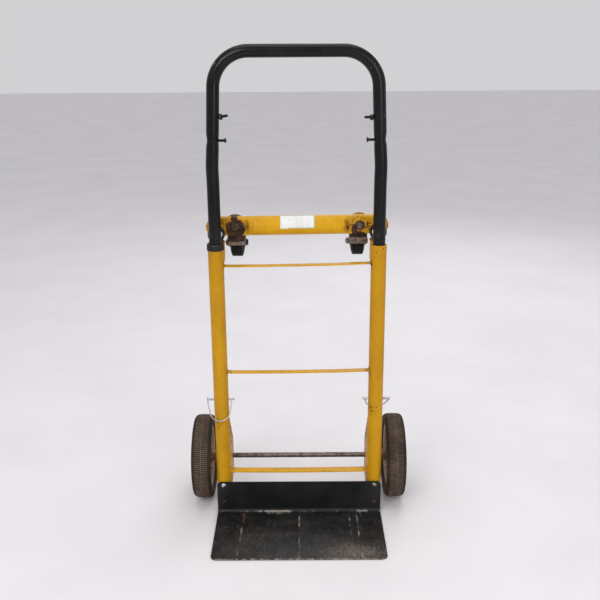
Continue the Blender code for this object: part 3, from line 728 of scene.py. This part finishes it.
def build_axle_cap(side, sign):
    node = "axle_cap_" + side
    inner, outer = reach_out(node)
    radius = sized(node)[3].z
    profile = [(0.0, outer), (0.0025, outer - 0.00012), (0.005, outer - 0.0006), (0.007, outer - 0.0016),
               (0.008, outer - 0.003), (0.0081, inner + 0.0014), (radius, inner + 0.001), (radius, inner),
               (AXLE_BORE, inner), (AXLE_BORE, outer - 0.002), (0.0, outer - 0.002)]
    cap = lathe(profile, (0, AXLE.y, AXLE.z), X * sign, 56, closed=False)
    piece("axle_end_cap_" + side, cap, ZINC, "frame", node)


# Toe plate --------------------

RIDGES = ((-0.131, -0.04), (0.0, 0.0), (0.118, 0.02), (0.135, 0.02))     # place and slant of each rubbed ridge
RIDGE_WIDTH, RIDGE_HEIGHT = 0.0032, 0.0007
SHEET_RIPPLE = 0.0004


def build_toe_plate():
    low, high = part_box("toe_plate")
    thick, bend_r = 0.003, 0.011         # the sheet, and the outside of its fold
    centre_r = bend_r - thick / 2
    bend_length = centre_r * math.pi / 2
    bend_y = high.y - bend_r
    flange = high.z - bend_r
    blade = bend_y - low.y
    half = high.x
    total_low, total_high = -flange, bend_length + blade
    columns, rows = 128, 96
    front_r, top_r = 0.014, 0.01

    def edge_limit(along):
        """Half the width of the sheet at a distance along it, with rounded corners."""
        for corner, end in ((top_r, along - total_low), (front_r, total_high - along)):
            if end < corner:
                return half - corner + math.sqrt(max(0.0, corner ** 2 - (corner - end) ** 2))
        return half

    def shaped(across, along, side):
        """A point of the sheet: side is +1 on the load side and -1 underneath."""
        press = sum(math.exp(-((across - ridge - slant * (along - 0.09)) / RIDGE_WIDTH) ** 2)
                    for ridge, slant in RIDGES)
        on_blade = max(0.0, min(1.0, (along - bend_length - 0.006) / 0.02, (total_high - along - 0.02) / 0.02))
        lift = RIDGE_HEIGHT * press * on_blade if side > 0 else 0.0
        lift += SHEET_RIPPLE * noise.noise(Vector((across * 14, along * 14, 1.0))) * on_blade * (side > 0)
        offset = side * thick / 2 + lift
        if along <= 0:
            return Vector((across, bend_y + centre_r - offset, bend_r - along))
        if along >= bend_length:
            return Vector((across, bend_y - (along - bend_length), thick / 2 + offset))
        turn = along / centre_r
        reach = centre_r - offset
        return Vector((across, bend_y + reach * math.cos(turn), bend_r - reach * math.sin(turn)))

    def stations():
        levels = [total_low + (total_high - total_low) * row / rows for row in range(rows + 1)]
        levels += [total_low + top_r * (1 - math.cos(math.pi / 2 * step / 8)) for step in range(1, 8)]
        levels += [total_high - front_r * (1 - math.cos(math.pi / 2 * step / 8)) for step in range(1, 8)]
        levels += [bend_length * step / 10 for step in range(11)]
        return sorted(set(round(level, 5) for level in levels))

    edge = 0.0007
    rings = []
    for along in stations():
        limit = edge_limit(along)
        top = [shaped(limit * (2 * column / columns - 1) * (1 - edge / limit), along, 1)
               for column in range(columns + 1)]
        under = [shaped(limit * (1 - 2 * column / columns) * (1 - edge / limit), along, -1)
                 for column in range(columns + 1)]
        right, left = shaped(limit, along, 0), shaped(-limit, along, 0)
        rings.append(top + [right] + under + [left])
    plate = piece("toe_plate_sheet", rings_to_mesh(rings), TOE, "frame", "toe_plate")
    store(plate, "wear", lambda point: toe_wear_and_fold_highlight(point, low, high, bend_y))
    store(plate, "dirt", lambda point: toe_dirt(point, low))
    store(plate, "blade", lambda point: (bend_y + 0.004 - point.y) / 0.006)
    store(plate, "brown", lambda point: toe_brown(point, bend_y))


def toe_wear_and_fold_highlight(point, low, high, bend_y):
    """Rubbed paint on the ridges and round the edges, and a lighter band along the fold: a painted highlight
    there, stronger where the paint is rubbed.
    """
    back = bend_y - point.y
    ridge = max(math.exp(-((point.x - place - slant * (back - 0.07)) / 0.0022) ** 2) for place, slant in RIDGES)
    ridge *= 1.0 if back > 0.004 else 0.0
    fold = math.exp(-((point.z - 0.0046) / 0.0018) ** 2) * (1.0 if back < 0.006 else 0.0)
    rubbed = max(math.exp(-((point.x + 0.055) / 0.045) ** 4), math.exp(-((point.x - 0.15) / 0.018) ** 2))
    patch = 0.55 + 0.9 * noise.noise(Vector((point.x * 26, point.y * 42, 3.0)))
    rim = max(0.0, 1 - (point.y - low.y) / 0.006) if point.z < 0.004 else 0.0
    sides = max(0.0, 1 - (high.x - abs(point.x)) / 0.004) if point.z < 0.02 else 0.0
    least = 0.66 if point.x < -0.1 else 0.42
    return max(ridge * max(least, patch), fold * max(0.35, rubbed), 0.6 * rim, 0.5 * sides)


def toe_dirt(point, low):
    """Dry dirt at the front right, and a thin film elsewhere on the blade."""
    if point.z > 0.02:
        return 0.0
    ahead = point.y - low.y
    corner = oval(point.x - 0.125, ahead - 0.022, 0.085, 0.045)
    left = oval(point.x + 0.1, ahead - 0.09, 0.1, 0.07)
    return max(math.exp(-corner ** 2), 0.4 * math.exp(-left ** 2), 0.45 * math.exp(-ahead / 0.02))


def toe_brown(point, bend_y):
    """Brown rust beside the left ridge and in a small spot at its end by the fold."""
    back = bend_y - point.y
    ridge, slant = RIDGES[0]
    beside = math.exp(-((point.x - ridge - slant * (back - 0.07)) / 0.005) ** 2) if back > 0.004 else 0.0
    hole = math.exp(-oval(point.x - ridge + 0.002, back - 0.006, 0.004, 0.004) ** 2)
    return max(0.28 * beside, 1.6 * hole)


BOLT_LOOKS = {"toe_bolt_upper_left": ZINC, "toe_bolt_upper_right": STEEL, "toe_bolt_lower_left": BLACK,
              "toe_bolt_lower_right": RUSTY}


def build_toe_bolts():
    for node in [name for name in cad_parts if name.startswith("toe_bolt")]:
        low, high, centre, half = sized(node)
        front = PLANE_Y - low.y
        back = high.y - PLANE_Y
        profile = [(0.0, front), (0.0018, front - 0.0002), (0.0034, front - 0.0007), (0.0046, front - 0.0015),
                   (half.x, front - 0.0024), (half.x, front - 0.0027), (0.004, front - 0.0027),
                   (0.004, 0.0008 - back), (0.0032, -back), (0.0, -back)]
        shape = lathe(profile, (centre.x, PLANE_Y, centre.z), -Y, 40, closed=False)
        piece(node + "_body", shape, BOLT_LOOKS[node], "frame", node, wear=0.6)
    for node in [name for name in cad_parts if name.startswith("toe_nut")]:
        low, high, centre, _ = sized(node)
        shape = hexagon(0.013, low.y - PLANE_Y, high.y - PLANE_Y, (centre.x, PLANE_Y, centre.z), Y, bore=0.0042)
        piece(node + "_body", shape, ZINC, "frame", node)


# Top of the frame --------------------

BAR_FLAT = 0.0106                # half the bar's depth where it is pressed flat


def bar_section(x, outer, steps=64):
    """The tube's section at x: round in the middle and pressed flat front and back further out."""
    share = max(0.0, min(1.0, (abs(x) - 0.102) / 0.012))
    share = share * share * (3 - 2 * share)
    points = []
    for step in range(steps):
        turn = 2 * math.pi * step / steps
        y, z = outer * math.cos(turn), outer * math.sin(turn)
        pressed = max(-BAR_FLAT, min(BAR_FLAT, y))
        dent = 0.0004 * noise.noise(Vector((x * 60, z * 90, 4.0))) * share
        points.append((y + (pressed - y) * share + dent, z))
    return points


def station_rust(point):
    """Dark marks round the king bolts: a broad rust mass on the left; on the right a dark ring round the bolt
    and dark marks below it.
    """
    if point.y > PLANE_Y + 0.055:
        return 0.0
    across, up = point.x - STATIONS[0].x, point.z - STATIONS[0].z
    mass = oval(across - 0.002, up + 0.005, 0.022, 0.022)
    top = oval(across + 0.001, up - 0.018, 0.009, 0.008)
    across, up = point.x - STATIONS[1].x, point.z - STATIONS[1].z
    ring = oval(across, up, 0.0135, 0.0135)
    streak = oval(across + 0.012, up + 0.012, 0.008, 0.017)
    foot = oval(across + 0.002, up + 0.02, 0.02, 0.008)
    return max(1.35 - mass, 1.2 - top, 1.15 - ring, 1.1 - streak, 1.15 - foot, 0.0)


def build_crossbar():
    low, high, centre, half = sized("caster_crossbar")
    outer = half.y
    inner = 1 - TUBE_WALL / outer
    columns = 150
    xs = [low.x + (high.x - low.x) * column / columns for column in range(columns + 1)]

    def ring(x, deep, tall):
        """The section at x, shrunk front to back and up and down, on the bar's sloping centre line."""
        return [Vector((x, centre.y + a * deep, centre.z + b * tall + x * BAR_SLOPE))
                for a, b in bar_section(x, outer)]

    rings = [ring(x, 1, 1) for x in xs]
    rings += [ring(x, 0.755 if abs(x) > 0.11 else inner, inner) for x in reversed(xs)]
    tube = rings_to_mesh(rings, closed=True)
    # The bar takes the lighter yellow copy, whose brighter base is painted light.
    bar = piece("caster_crossbar_tube", tube, YELLOW_PAINTED_LIGHTER, "frame", "caster_crossbar")
    end_r = outer + 0.0001
    middle_x = high.x - end_r
    outline = arc((middle_x, middle_x * BAR_SLOPE), end_r, -90, 90, 32)
    outline += arc((-middle_x, -middle_x * BAR_SLOPE), end_r, 90, 270, 32)
    combine(bar, extruded(outline, centre, 0.08, X, Z), "INTERSECT")
    for side in SIDES:
        socket = middle("handle_socket_" + side)
        drill(bar, TUBE_R - 0.0002, 0.04, (socket.x, centre.y, socket.z), Y, 48)
    face = centre.y - BAR_FLAT
    worn = [((STATIONS[0].x - 0.024, face, centre.z + 0.004), 0.034)]
    for side, sign in SIDES.items():
        station = middle("caster_race_" + side)
        worn += [((station.x, face, station.z), 0.034), ((sign * 0.108, face, centre.z), 0.022),
                 ((sign * 0.16, face, centre.z), 0.024), ((sign * 0.2, centre.y, centre.z), 0.022)]
    store(bar, "wear", spots(*worn))
    store(bar, "rust", station_rust)
    build_label(centre, outer)


def build_label(centre, outer):
    """A blank paper label wrapped over the front of the bar, with a plain border."""
    def strip(name, x_low, x_high, angle_low, angle_high, gap, material):
        section = arc((0, 0), outer + gap, angle_low, angle_high, 16)
        section += arc((0, 0), outer + gap + 0.00012, angle_high, angle_low, 16)
        xs = [x_low + (x_high - x_low) * column / 12 for column in range(13)]
        rings = [[Vector((x, centre.y - a, centre.z + b + x * BAR_SLOPE)) for a, b in section] for x in xs]
        piece(name, rings_to_mesh(rings), material, "frame")

    low_x, high_x, bottom, top = -0.0365, 0.0385, -8, 86
    strip("blank_label", low_x, high_x, bottom, top, 0.00015, PAPER)
    strip("blank_label_border_top", low_x, high_x, top - 4, top, 0.0003, GREEN)
    strip("blank_label_border_bottom", low_x + 0.018, high_x, bottom, bottom + 4, 0.0003, GREEN)
    strip("blank_label_border_right", high_x - 0.002, high_x, bottom + 4, top - 4, 0.0003, GREEN)


def build_sockets():
    for side in SIDES:
        node = "handle_socket_" + side
        low, high, centre, _ = sized(node)
        inner = TUBE_R - TUBE_WALL
        profile = rounded([(TUBE_R, low.y), (TUBE_R, high.y), (inner, high.y), (inner, low.y)], 0.0005, 2)
        tube = lathe(profile, (centre.x, 0, centre.z), Y, 64)
        piece("handle_socket_tube_" + side, tube, YELLOW_PAINTED_LIGHTER, "frame", node, wear=0.45)
        build_socket_arm("socket_arm_" + side)
        build_cap("socket_bush_" + side, (centre.x, low.y, centre.z), -Y)
    build_cap("upright_collar_left", (UPRIGHT["left"].x, PLANE_Y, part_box("upright_left")[1].z), Z)


def build_cap(node, mouth, axis):
    """A plastic tube cap: skirt over the tube, chamfered nose and fine grip grooves."""
    radius = sized(node)[3].x
    bore, skirt = 0.0138, TUBE_R + 0.0003
    nose, tail = 0.0047, 0.0097
    profile = [(bore, 0.0003), (bore, nose - 0.0006), (bore + 0.0006, nose), (0.016, nose),
               (0.0172, nose - 0.0004), (radius - 0.0004, 0.0014), (radius, 0.0006)]
    for groove in range(4):
        start = -0.0012 - groove * 0.0019
        profile += [(radius, start), (radius - 0.0003, start - 0.0003), (radius - 0.0003, start - 0.0006),
                    (radius, start - 0.0009)]
    profile += [(radius, 0.0004 - tail), (radius - 0.0004, -tail), (skirt, -tail), (skirt, 0.0003)]
    piece(node + "_cap", lathe(profile, mouth, axis, 72), PLASTIC, "frame", node)


def build_socket_arm(node):
    """The stub under a socket: its lower end is cut at a slant against the upright."""
    low, high, centre, _ = sized(node)
    tube = long_tube(TUBE_R, TUBE_WALL, low.z - 0.02, high.z, (centre.x, centre.y, 0), Z, 24)
    arm = piece(node + "_tube", tube, YELLOW_PAINTED_LIGHTER, "frame", node)
    block = bmesh.new()
    slant = Matrix.Translation((centre.x, low.y, low.z)) @ Matrix.Rotation(math.radians(40), 4, "X")
    block_place = slant @ Matrix.Translation((0, 0, -0.025)) @ Matrix.Diagonal((0.06, 0.12, 0.05, 1))
    bmesh.ops.create_cube(block, size=1.0, matrix=block_place)
    combine(arm, block, "DIFFERENCE")
    store(arm, "wear", spots(((centre.x, low.y, low.z), 0.03), ((centre.x, centre.y, high.z), 0.025)))


def build_top_welds():
    """Beads round the sockets, under them and up the backs of the uprights."""
    shapes = []
    bar_y = middle("caster_crossbar").y
    for side in SIDES:
        socket = middle("handle_socket_" + side)
        low, high, arm, _ = sized("socket_arm_" + side)
        for edge in (-1, 1):
            ring = (socket.x, bar_y + edge * (BAR_FLAT + 0.0002), socket.z)
            shapes.append(weld(round_path(ring, TUBE_R + 0.0004, 0, 180, 26, X, Z), 0.0021, len(shapes)))
        ring = (socket.x, arm.y, high.z - 0.0002)
        shapes.append(weld(round_path(ring, TUBE_R - 0.0004, 0, 360, 40, X, Y), 0.0016, len(shapes)))
        gap_y = (PLANE_Y + TUBE_R + low.y) / 2
        for edge in (-1, 1):
            x = UPRIGHT[side].x + edge * 0.004
            path = [(x, gap_y, low.z + 0.001 + 0.034 * step / 16) for step in range(17)]
            shapes.append(weld(path, 0.003, len(shapes)))
    piece("socket_weld_beads", joined(*shapes), YELLOW_PAINTED_LIGHTER, "frame", wear=0.7)


# Handle --------------------

STUD_R = 0.003
LEG_KINK = 0.815                 # height where the legs begin to lean in
LEG_LEAN = 0.043                 # how much they lean in, for each metre up


def leg_place(height, half):
    """How far a leg is from the middle of the truck: its upper part leans in."""
    return half - max(0.0, height - LEG_KINK) * LEG_LEAN


def build_handle():
    low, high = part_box("handle_loop")
    half = high.x - HANDLE_R
    bend = 0.073
    top = high.z - HANDLE_R
    stud = middle("stud_lower_left").z
    levels = [low.z + (top - bend - low.z) * step / 90 for step in range(91)]
    corner = leg_place(top - bend, half) - bend
    path = [(-leg_place(level, half), level) for level in levels]
    path += arc((-corner, top - bend), bend, 180, 90, 26)[1:]
    path += [(-corner + 2 * corner * step / 24, top) for step in range(1, 24)]
    path += arc((corner, top - bend), bend, 90, 0, 26)
    path += [(leg_place(level, half), level) for level in reversed(levels[:-1])]

    def bulge(point, out):
        """Pinched on the outer side by the studs, and a little swollen below them."""
        if point.z > top - bend:
            return 0.0
        outward = out.x * (1 if point.x > 0 else -1)
        pinch = -0.0021 * math.exp(-((point.z - stud) / 0.0085) ** 2) * max(0.0, outward)
        inner = -0.0008 * math.exp(-((point.z - stud) / 0.008) ** 2) * max(0.0, -outward)
        swell = 0.0006 * math.exp(-((point.z - stud + 0.055) / 0.022) ** 2) * outward
        return pinch + inner + swell

    points = [Vector((x, PLANE_Y, z)) for x, z in path]
    loop = piece("handle_loop_tube", sweep(points, HANDLE_R, 48, bulge), BLACK, "handle", "handle_loop")
    worn = []
    for sign in (-1, 1):
        worn += [((sign * half, PLANE_Y, stud), 0.03), ((sign * half, PLANE_Y, stud + 0.045), 0.03),
                 ((sign * half, PLANE_Y, 0.66), 0.06), ((sign * (half - 0.02), PLANE_Y, high.z - 0.03), 0.05)]
    store(loop, "wear", spots(*worn))
    build_studs(half)


def build_studs(half):
    """In from each leg point a domed bolt and, above it, a bare stud with its nut; the left one slants."""
    foot = HANDLE_R - 0.0065
    dome = HANDLE_R + 0.0155
    tip = HANDLE_R + 0.0187
    heads = {"lower": [(0.0, dome), (STUD_R, dome - 0.0002), (0.0044, dome - 0.0008), (0.0052, dome - 0.0019),
                       (0.0052, dome - 0.0034), (0.0047, dome - 0.0041), (STUD_R, dome - 0.0044)],
             "upper": [(0.0, tip), (0.0016, tip - 0.0002), (0.0026, tip - 0.001)]}
    starts = {"lower": dome - 0.005, "upper": tip - 0.0016}
    for side, sign in SIDES.items():
        for level, head in heads.items():
            name = level + "_" + side
            height = middle("stud_" + name).z
            place = (sign * leg_place(height, half), PLANE_Y, height)
            axis = (Z * 0.16 - X * sign).normalized() if name == "upper_left" else X * -sign
            profile = head + thread(starts[level], HANDLE_R - 0.002, STUD_R) + [(STUD_R, foot), (0.0, foot)]
            bolt = lathe(profile, place, axis, 32, closed=False)
            piece("stud_bolt_" + name, bolt, BLACK, "handle", "stud_" + name, wear=0.8)
        nut = hexagon(0.011, HANDLE_R + 0.0004, HANDLE_R + 0.0067, place, axis, 0.001, STUD_R + 0.0001)
        piece("stud_lock_nut_" + side, nut, BLACK, "handle", "stud_nut_" + side, wear=0.7)


def thread(start, end, radius, pitch=0.001, depth=0.00025):
    """Rings of a thread between two distances on a turned profile, going down."""
    points = []
    turns = int(abs(start - end) / pitch)
    for turn in range(turns):
        at = start - turn * pitch
        points += [(radius, at), (radius - depth, at - pitch / 2)]
    return points


# Main wheels --------------------

RIBS = 132
RIB_DEPTH = 0.001
RIB_STEPS = 4


def build_tyre(side):
    node = "tyre_" + side
    _, _, centre, size = sized(node)
    half = size.x
    shoulder = 0.095
    flank = [(0.0781, half - 0.0052), (0.0793, half - 0.0036), (0.0815, half - 0.0026), (0.084, half - 0.0012),
             (0.0862, half - 0.0007), (0.088, half), (0.0905, half), (0.093, half - 0.0006),
             (0.0952, half - 0.002), (0.097, half - 0.004), (0.0982, half - 0.0062)]
    crown = [(0.0989, half - 0.0084), (0.0993, half - 0.011), (0.0996, half - 0.0138), (0.0997, 0.0048),
             (0.0996, 0.003), (0.0989, 0.0026), (0.0989, 0.0019), (0.0998, 0.0014), (size.z, 0.0008)]
    profile = flank + crown + [(radius, -distance) for radius, distance in reversed(flank + crown)]

    def wobble(radius, distance, turn):
        """Grooves between the ribs, on each half of the tread and fading over the shoulder."""
        if abs(distance) < 0.004 or radius < shoulder:
            return 0.0
        step = round(turn / (2 * math.pi) * RIBS * RIB_STEPS)
        shifted = step + (2 if distance > 0 else 0)
        fade = min(1.0, (radius - shoulder) / 0.0032)
        return -RIB_DEPTH * fade if shifted % RIB_STEPS >= 2 else 0.0

    tread = lathe(profile, centre, X, RIBS * RIB_STEPS, True, wobble)
    tyre = piece("tread_tyre_" + side, tread, TYRE, "wheel_" + side, node)

    def dust_and_groove_shade_rule(point):
        """Dust lies on the middle band and the ribs; the grooves stay dark as painted shade, and the wall has
        little dust.
        """
        reach = math.hypot(point.y - centre.y, point.z - centre.z)
        across = abs(point.x - centre.x)
        if across < 0.0022:
            return 1.0 if reach > 0.0994 else 0.25
        if reach < shoulder:
            return 0.28
        crown_r = 0.0997 - max(0.0, across - 0.008) ** 2 * 9
        return 0.95 if reach > crown_r - 0.0006 else 0.1

    store(tyre, "high", dust_and_groove_shade_rule)


def build_rim(side, sign):
    """Moulded rim: two flanges, a barrel, a thin web, ribs on both sides and a long hub."""
    node = "rim_" + side
    radius = sized(node)[3].z
    wheel = middle("tyre_" + side)
    hub_in, hub_out = reach_out(node, wheel.x)
    profile = [(AXLE_BORE, hub_out), (0.0135, hub_out), (0.0158, 0.009), (0.02, 0.003), (0.06, 0.0026),
               (0.0655, 0.006), (0.0685, 0.0145), (radius, 0.015), (radius, -0.016), (0.0695, -0.0158),
               (0.066, -0.008), (0.061, -0.003), (0.02, -0.0034), (0.015, -0.012), (0.0122, -0.03),
               (0.0112, hub_in), (AXLE_BORE, hub_in)]
    front = [(0.014, 0.01), (0.014, 0.002), (0.067, 0.002), (0.0672, 0.01), (0.056, 0.0068),
             (0.03, 0.0068)]
    back = [(0.013, -0.02), (0.03, -0.0092), (0.056, -0.0086), (0.0672, -0.013), (0.0672, -0.002),
            (0.013, -0.002)]
    shapes = [lathe(rounded(profile, 0.0014, 3), wheel, X * sign, 96)]
    ribs = 10
    for rib in range(ribs):
        turn = 2 * math.pi * (rib + 0.5) / ribs
        out = Y * math.cos(turn) + Z * math.sin(turn)
        shapes += [extruded(outline, wheel, 0.0036, out, X * sign) for outline in (front, back)]
    piece("moulded_rim_" + side, joined(*shapes), CREAM, "wheel_" + side, node)


# Casters --------------------

def build_caster(side):
    metal = SPRAYED[side]
    race = middle("caster_race_" + side)
    king = (race.x, 0, race.z)
    build_race(side, metal, king)
    build_king(side, king)
    build_fork(side, metal, king)
    build_caster_axle(side)
    build_caster_wheel(side)


def overspray(item, front, share):
    """Yellow paint on the steel, fading backwards from its front."""
    store(item, "overspray", lambda point: share * (1.0 - (point.y - front) / 0.03))


def build_race(side, metal, king):
    node = "caster_race_" + side
    low, high, _, half = sized(node)
    outer = half.x
    profile = [(0.0052, low.y), (outer - 0.0006, low.y), (outer, low.y + 0.0006), (outer, high.y - 0.0012),
               (outer - 0.0008, high.y - 0.0004), (outer - 0.0026, high.y), (0.016, high.y),
               (0.0145, high.y - 0.0006), (0.0052, high.y - 0.0006)]
    race = piece("caster_top_race_" + side, lathe(profile, king, Y, 72), metal, "frame", node)
    overspray(race, low.y, 0.0 if side == "left" else 1.0)


def build_king(side, king):
    low, high, _, half = sized("king_bolt_" + side)
    flange = half.x
    seat = low.y + 0.0068
    washer = [(0.0, seat), (flange - 0.0004, seat), (flange, seat - 0.0004), (flange, seat - 0.0012),
              (flange - 0.0008, seat - 0.0016), (0.007, seat - 0.0018), (0.0, seat - 0.0018)]
    head = hexagon(0.013, -(seat - 0.0015), -low.y, king, -Y, 0.0014)
    profile = [(0.0, seat - 0.001), (0.005, seat - 0.001)]
    profile += thread(high.y - 0.001, high.y - 0.014, 0.005, 0.0015, 0.0005)[::-1]
    profile += [(0.0042, high.y), (0.0, high.y)]
    shank = lathe(profile, king, Y, 40, closed=False)
    metal = RUSTY if side == "left" else AXLE_STEEL
    piece("king_bolt_washer_" + side, lathe(washer, king, Y, 64, closed=False), RUSTY, "frame")
    piece("king_bolt_body_" + side, joined(head, shank), metal, "frame", "king_bolt_" + side)
    low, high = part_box("king_nut_" + side)
    nut = hexagon(0.0155, low.y, high.y, king, Y, 0.0014, 0.005)
    piece("king_lock_nut_" + side, nut, metal, "frame", "king_nut_" + side)


def build_fork(side, metal, king):
    """Pressed fork: bottom race cup, crown plate and two legs with rounded edges."""
    node = "caster_fork_" + side
    low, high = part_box(node)
    hub = middle("caster_wheel_" + side)
    sheet = 0.0025
    half, top, corner, nick = 0.0195, 0.018, 0.01, 0.004      # the crown's half width, top and corners
    bore = 0.0053
    crown_y = low.y + 0.0079
    cup = [(bore, low.y), (0.0175, low.y), (0.019, low.y + 0.0006), (0.0203, low.y + 0.0022),
           (0.0205, crown_y + 0.0008), (bore, crown_y + 0.0008)]
    fork = piece("caster_fork_body_" + side, lathe(cup, king, Y, 64), metal, "caster_" + side, node)
    outline = arc((half - corner, top - corner), corner, 0, 90, 8)
    outline += arc((corner - half, top - corner), corner, 90, 180, 8)
    outline += arc((nick - half, CROWN_LOW + nick), nick, 180, 270, 4)
    outline += arc((half - nick, CROWN_LOW + nick), nick, 270, 360, 4)
    combine(fork, extruded(outline, (king[0], crown_y + sheet / 2, king[2]), sheet, X, Z), "UNION")
    leg = [(crown_y + 0.0004, 0.006), (crown_y + 0.0004, CROWN_LOW)]
    leg += arc((hub.y, hub.z - king[2]), 0.01, -110, 40, 14)
    for edge in (-1, 1):
        place = (king[0] + edge * (half - sheet / 2), 0, king[2])
        combine(fork, extruded(leg, place, sheet - 0.00006, Y, Z), "UNION")
    combine(fork, lathe([(bore, low.y - 0.01), (bore, high.y)], king, Y, 32, closed=False), "DIFFERENCE")
    soften(fork, 0.0006, 2)
    fork.data.materials.clear()
    fork.data.materials.append(metal)
    overspray(fork, low.y, 0.2)
    store(fork, "rust", lambda point: 1.0)


def build_caster_axle(side):
    low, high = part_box("caster_axle_" + side)
    hub = middle("caster_wheel_" + side)
    tail, tip = low.x - hub.x, high.x - hub.x
    seat = tip - 0.0045
    head = hexagon(0.0125, seat, tip, hub, X, 0.0011)
    profile = [(0.0, tail), (0.0032, tail), (0.004, tail + 0.0008)]
    profile += thread(tail + 0.01, tail + 0.001, 0.004)[::-1]
    profile += [(0.004, seat + 0.001), (0.0, seat + 0.001)]
    shank = lathe(profile, hub, X, 36, closed=False)
    metal = RUSTY if side == "left" else STEEL
    piece("caster_axle_bolt_" + side, joined(head, shank), metal, "caster_" + side, "caster_axle_" + side)
    low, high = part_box("caster_axle_nut_" + side)
    nut = hexagon(0.013, low.x - hub.x, high.x - hub.x, hub, X, 0.0012, 0.0041)
    piece("caster_lock_nut_" + side, nut, metal, "caster_" + side, "caster_axle_nut_" + side)


def build_caster_wheel(side):
    node = "caster_wheel_" + side
    _, _, hub, size = sized(node)
    outer, half = size.z, size.x
    side_face = [(0.0043, half), (0.014, half), (0.015, half - 0.0004), (0.0185, 0.0155), (0.022, 0.0149),
                 (0.026, 0.0138), (0.029, 0.0128), (0.0305, 0.012), (0.0316, 0.0107), (outer, 0.009),
                 (outer, 0.0064), (outer - 0.0005, 0.006), (outer - 0.0005, 0.0054), (outer, 0.005),
                 (outer, 0.0008), (outer - 0.0005, 0.0005)]
    profile = side_face + [(radius, -distance) for radius, distance in reversed(side_face)]
    piece("caster_tread_wheel_" + side, lathe(profile, hub, X, 80), RUBBER, "caster_roller_" + side, node)


# Lock pins --------------------

def build_lock_pin(side, sign):
    node = "lock_pin_" + side
    _, _, centre, size = sized(node)
    place = (UPRIGHT[side].x, PLANE_Y, centre.z)
    inner, outer = reach_out(node, place[0])
    shank, head = 0.0028, size.z
    groove = shank - 0.0004
    profile = [(0.0, outer), (0.0026, outer - 0.0001), (0.0037, outer - 0.0006), (head, outer - 0.0013),
               (head, outer - 0.0018), (shank, outer - 0.0021), (shank, inner + 0.005),
               (groove, inner + 0.0044), (groove, inner + 0.0034), (shank, inner + 0.0028),
               (shank, inner + 0.0014), (0.0018, inner), (0.0, inner)]
    piece("lock_pin_body_" + side, lathe(profile, place, X * sign, 40, closed=False), ZINC, node, node)
    build_bail(side, sign, place, shank)


def build_bail(side, sign, place, shank):
    """A wire bow hinged on the pin; the left one hangs forward and the right one back."""
    node = "lock_bail_" + side
    low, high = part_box(node)
    wire = 0.00125
    depth = (high.y - PLANE_Y if sign > 0 else PLANE_Y - low.y) - wire
    drop = place[2] - low.z - wire
    down = Vector((0, sign * depth, -drop)).normalized()
    reach = math.hypot(depth, drop)
    near = shank + wire
    out, tip = 0.03, -0.0225
    centre, radius = (out + tip) / 2 - 0.001, 0.0215
    flat = [(near, out), (0.006, out + 0.0006), (0.013, out + 0.0003)]
    flat += [(reach - radius + radius * math.sin(turn), centre + (radius + 0.001) * math.cos(turn))
             for turn in (math.radians(8 + 164 * step / 36) for step in range(37))]
    flat += [(0.013, tip - 0.0003), (0.006, tip - 0.0004), (near, tip)]
    points = [Vector(place) + down * far + X * sign * along for far, along in smooth_path(flat)]
    piece("lock_bail_wire_" + side, sweep(points, wire, 16), ZINC, "lock_pin_" + side, node)


def smooth_path(points, rounds=2):
    """Cut the corners of an open path a few times."""
    for _ in range(rounds):
        cut = [points[0]]
        for first, second in zip(points, points[1:]):
            cut.append(tuple(0.75 * a + 0.25 * b for a, b in zip(first, second)))
            cut.append(tuple(0.25 * a + 0.75 * b for a, b in zip(first, second)))
        points = cut + [points[-1]]
    return points


def build_floor():
    shape = bmesh.new()
    bmesh.ops.create_grid(shape, x_segments=8, y_segments=8, size=14)
    mesh = bpy.data.meshes.new("studio_floor")
    shape.to_mesh(mesh)
    shape.free()
    mesh.materials.append(make_floor_finish())
    floor = bpy.data.objects.new("studio_floor", mesh)
    floor.location.z = -0.0004
    bpy.context.scene.collection.objects.link(floor)


make_camera()
make_studio()
build_floor()
build_uprights()
build_rungs()
build_rung_welds()
build_brackets()
build_axle()
build_toe_plate()
build_toe_bolts()
build_crossbar()
build_sockets()
build_top_welds()
build_handle()
for SIDE, SIGN in SIDES.items():
    build_tyre(SIDE)
    build_rim(SIDE, SIGN)
    build_caster(SIDE)
    build_lock_pin(SIDE, SIGN)
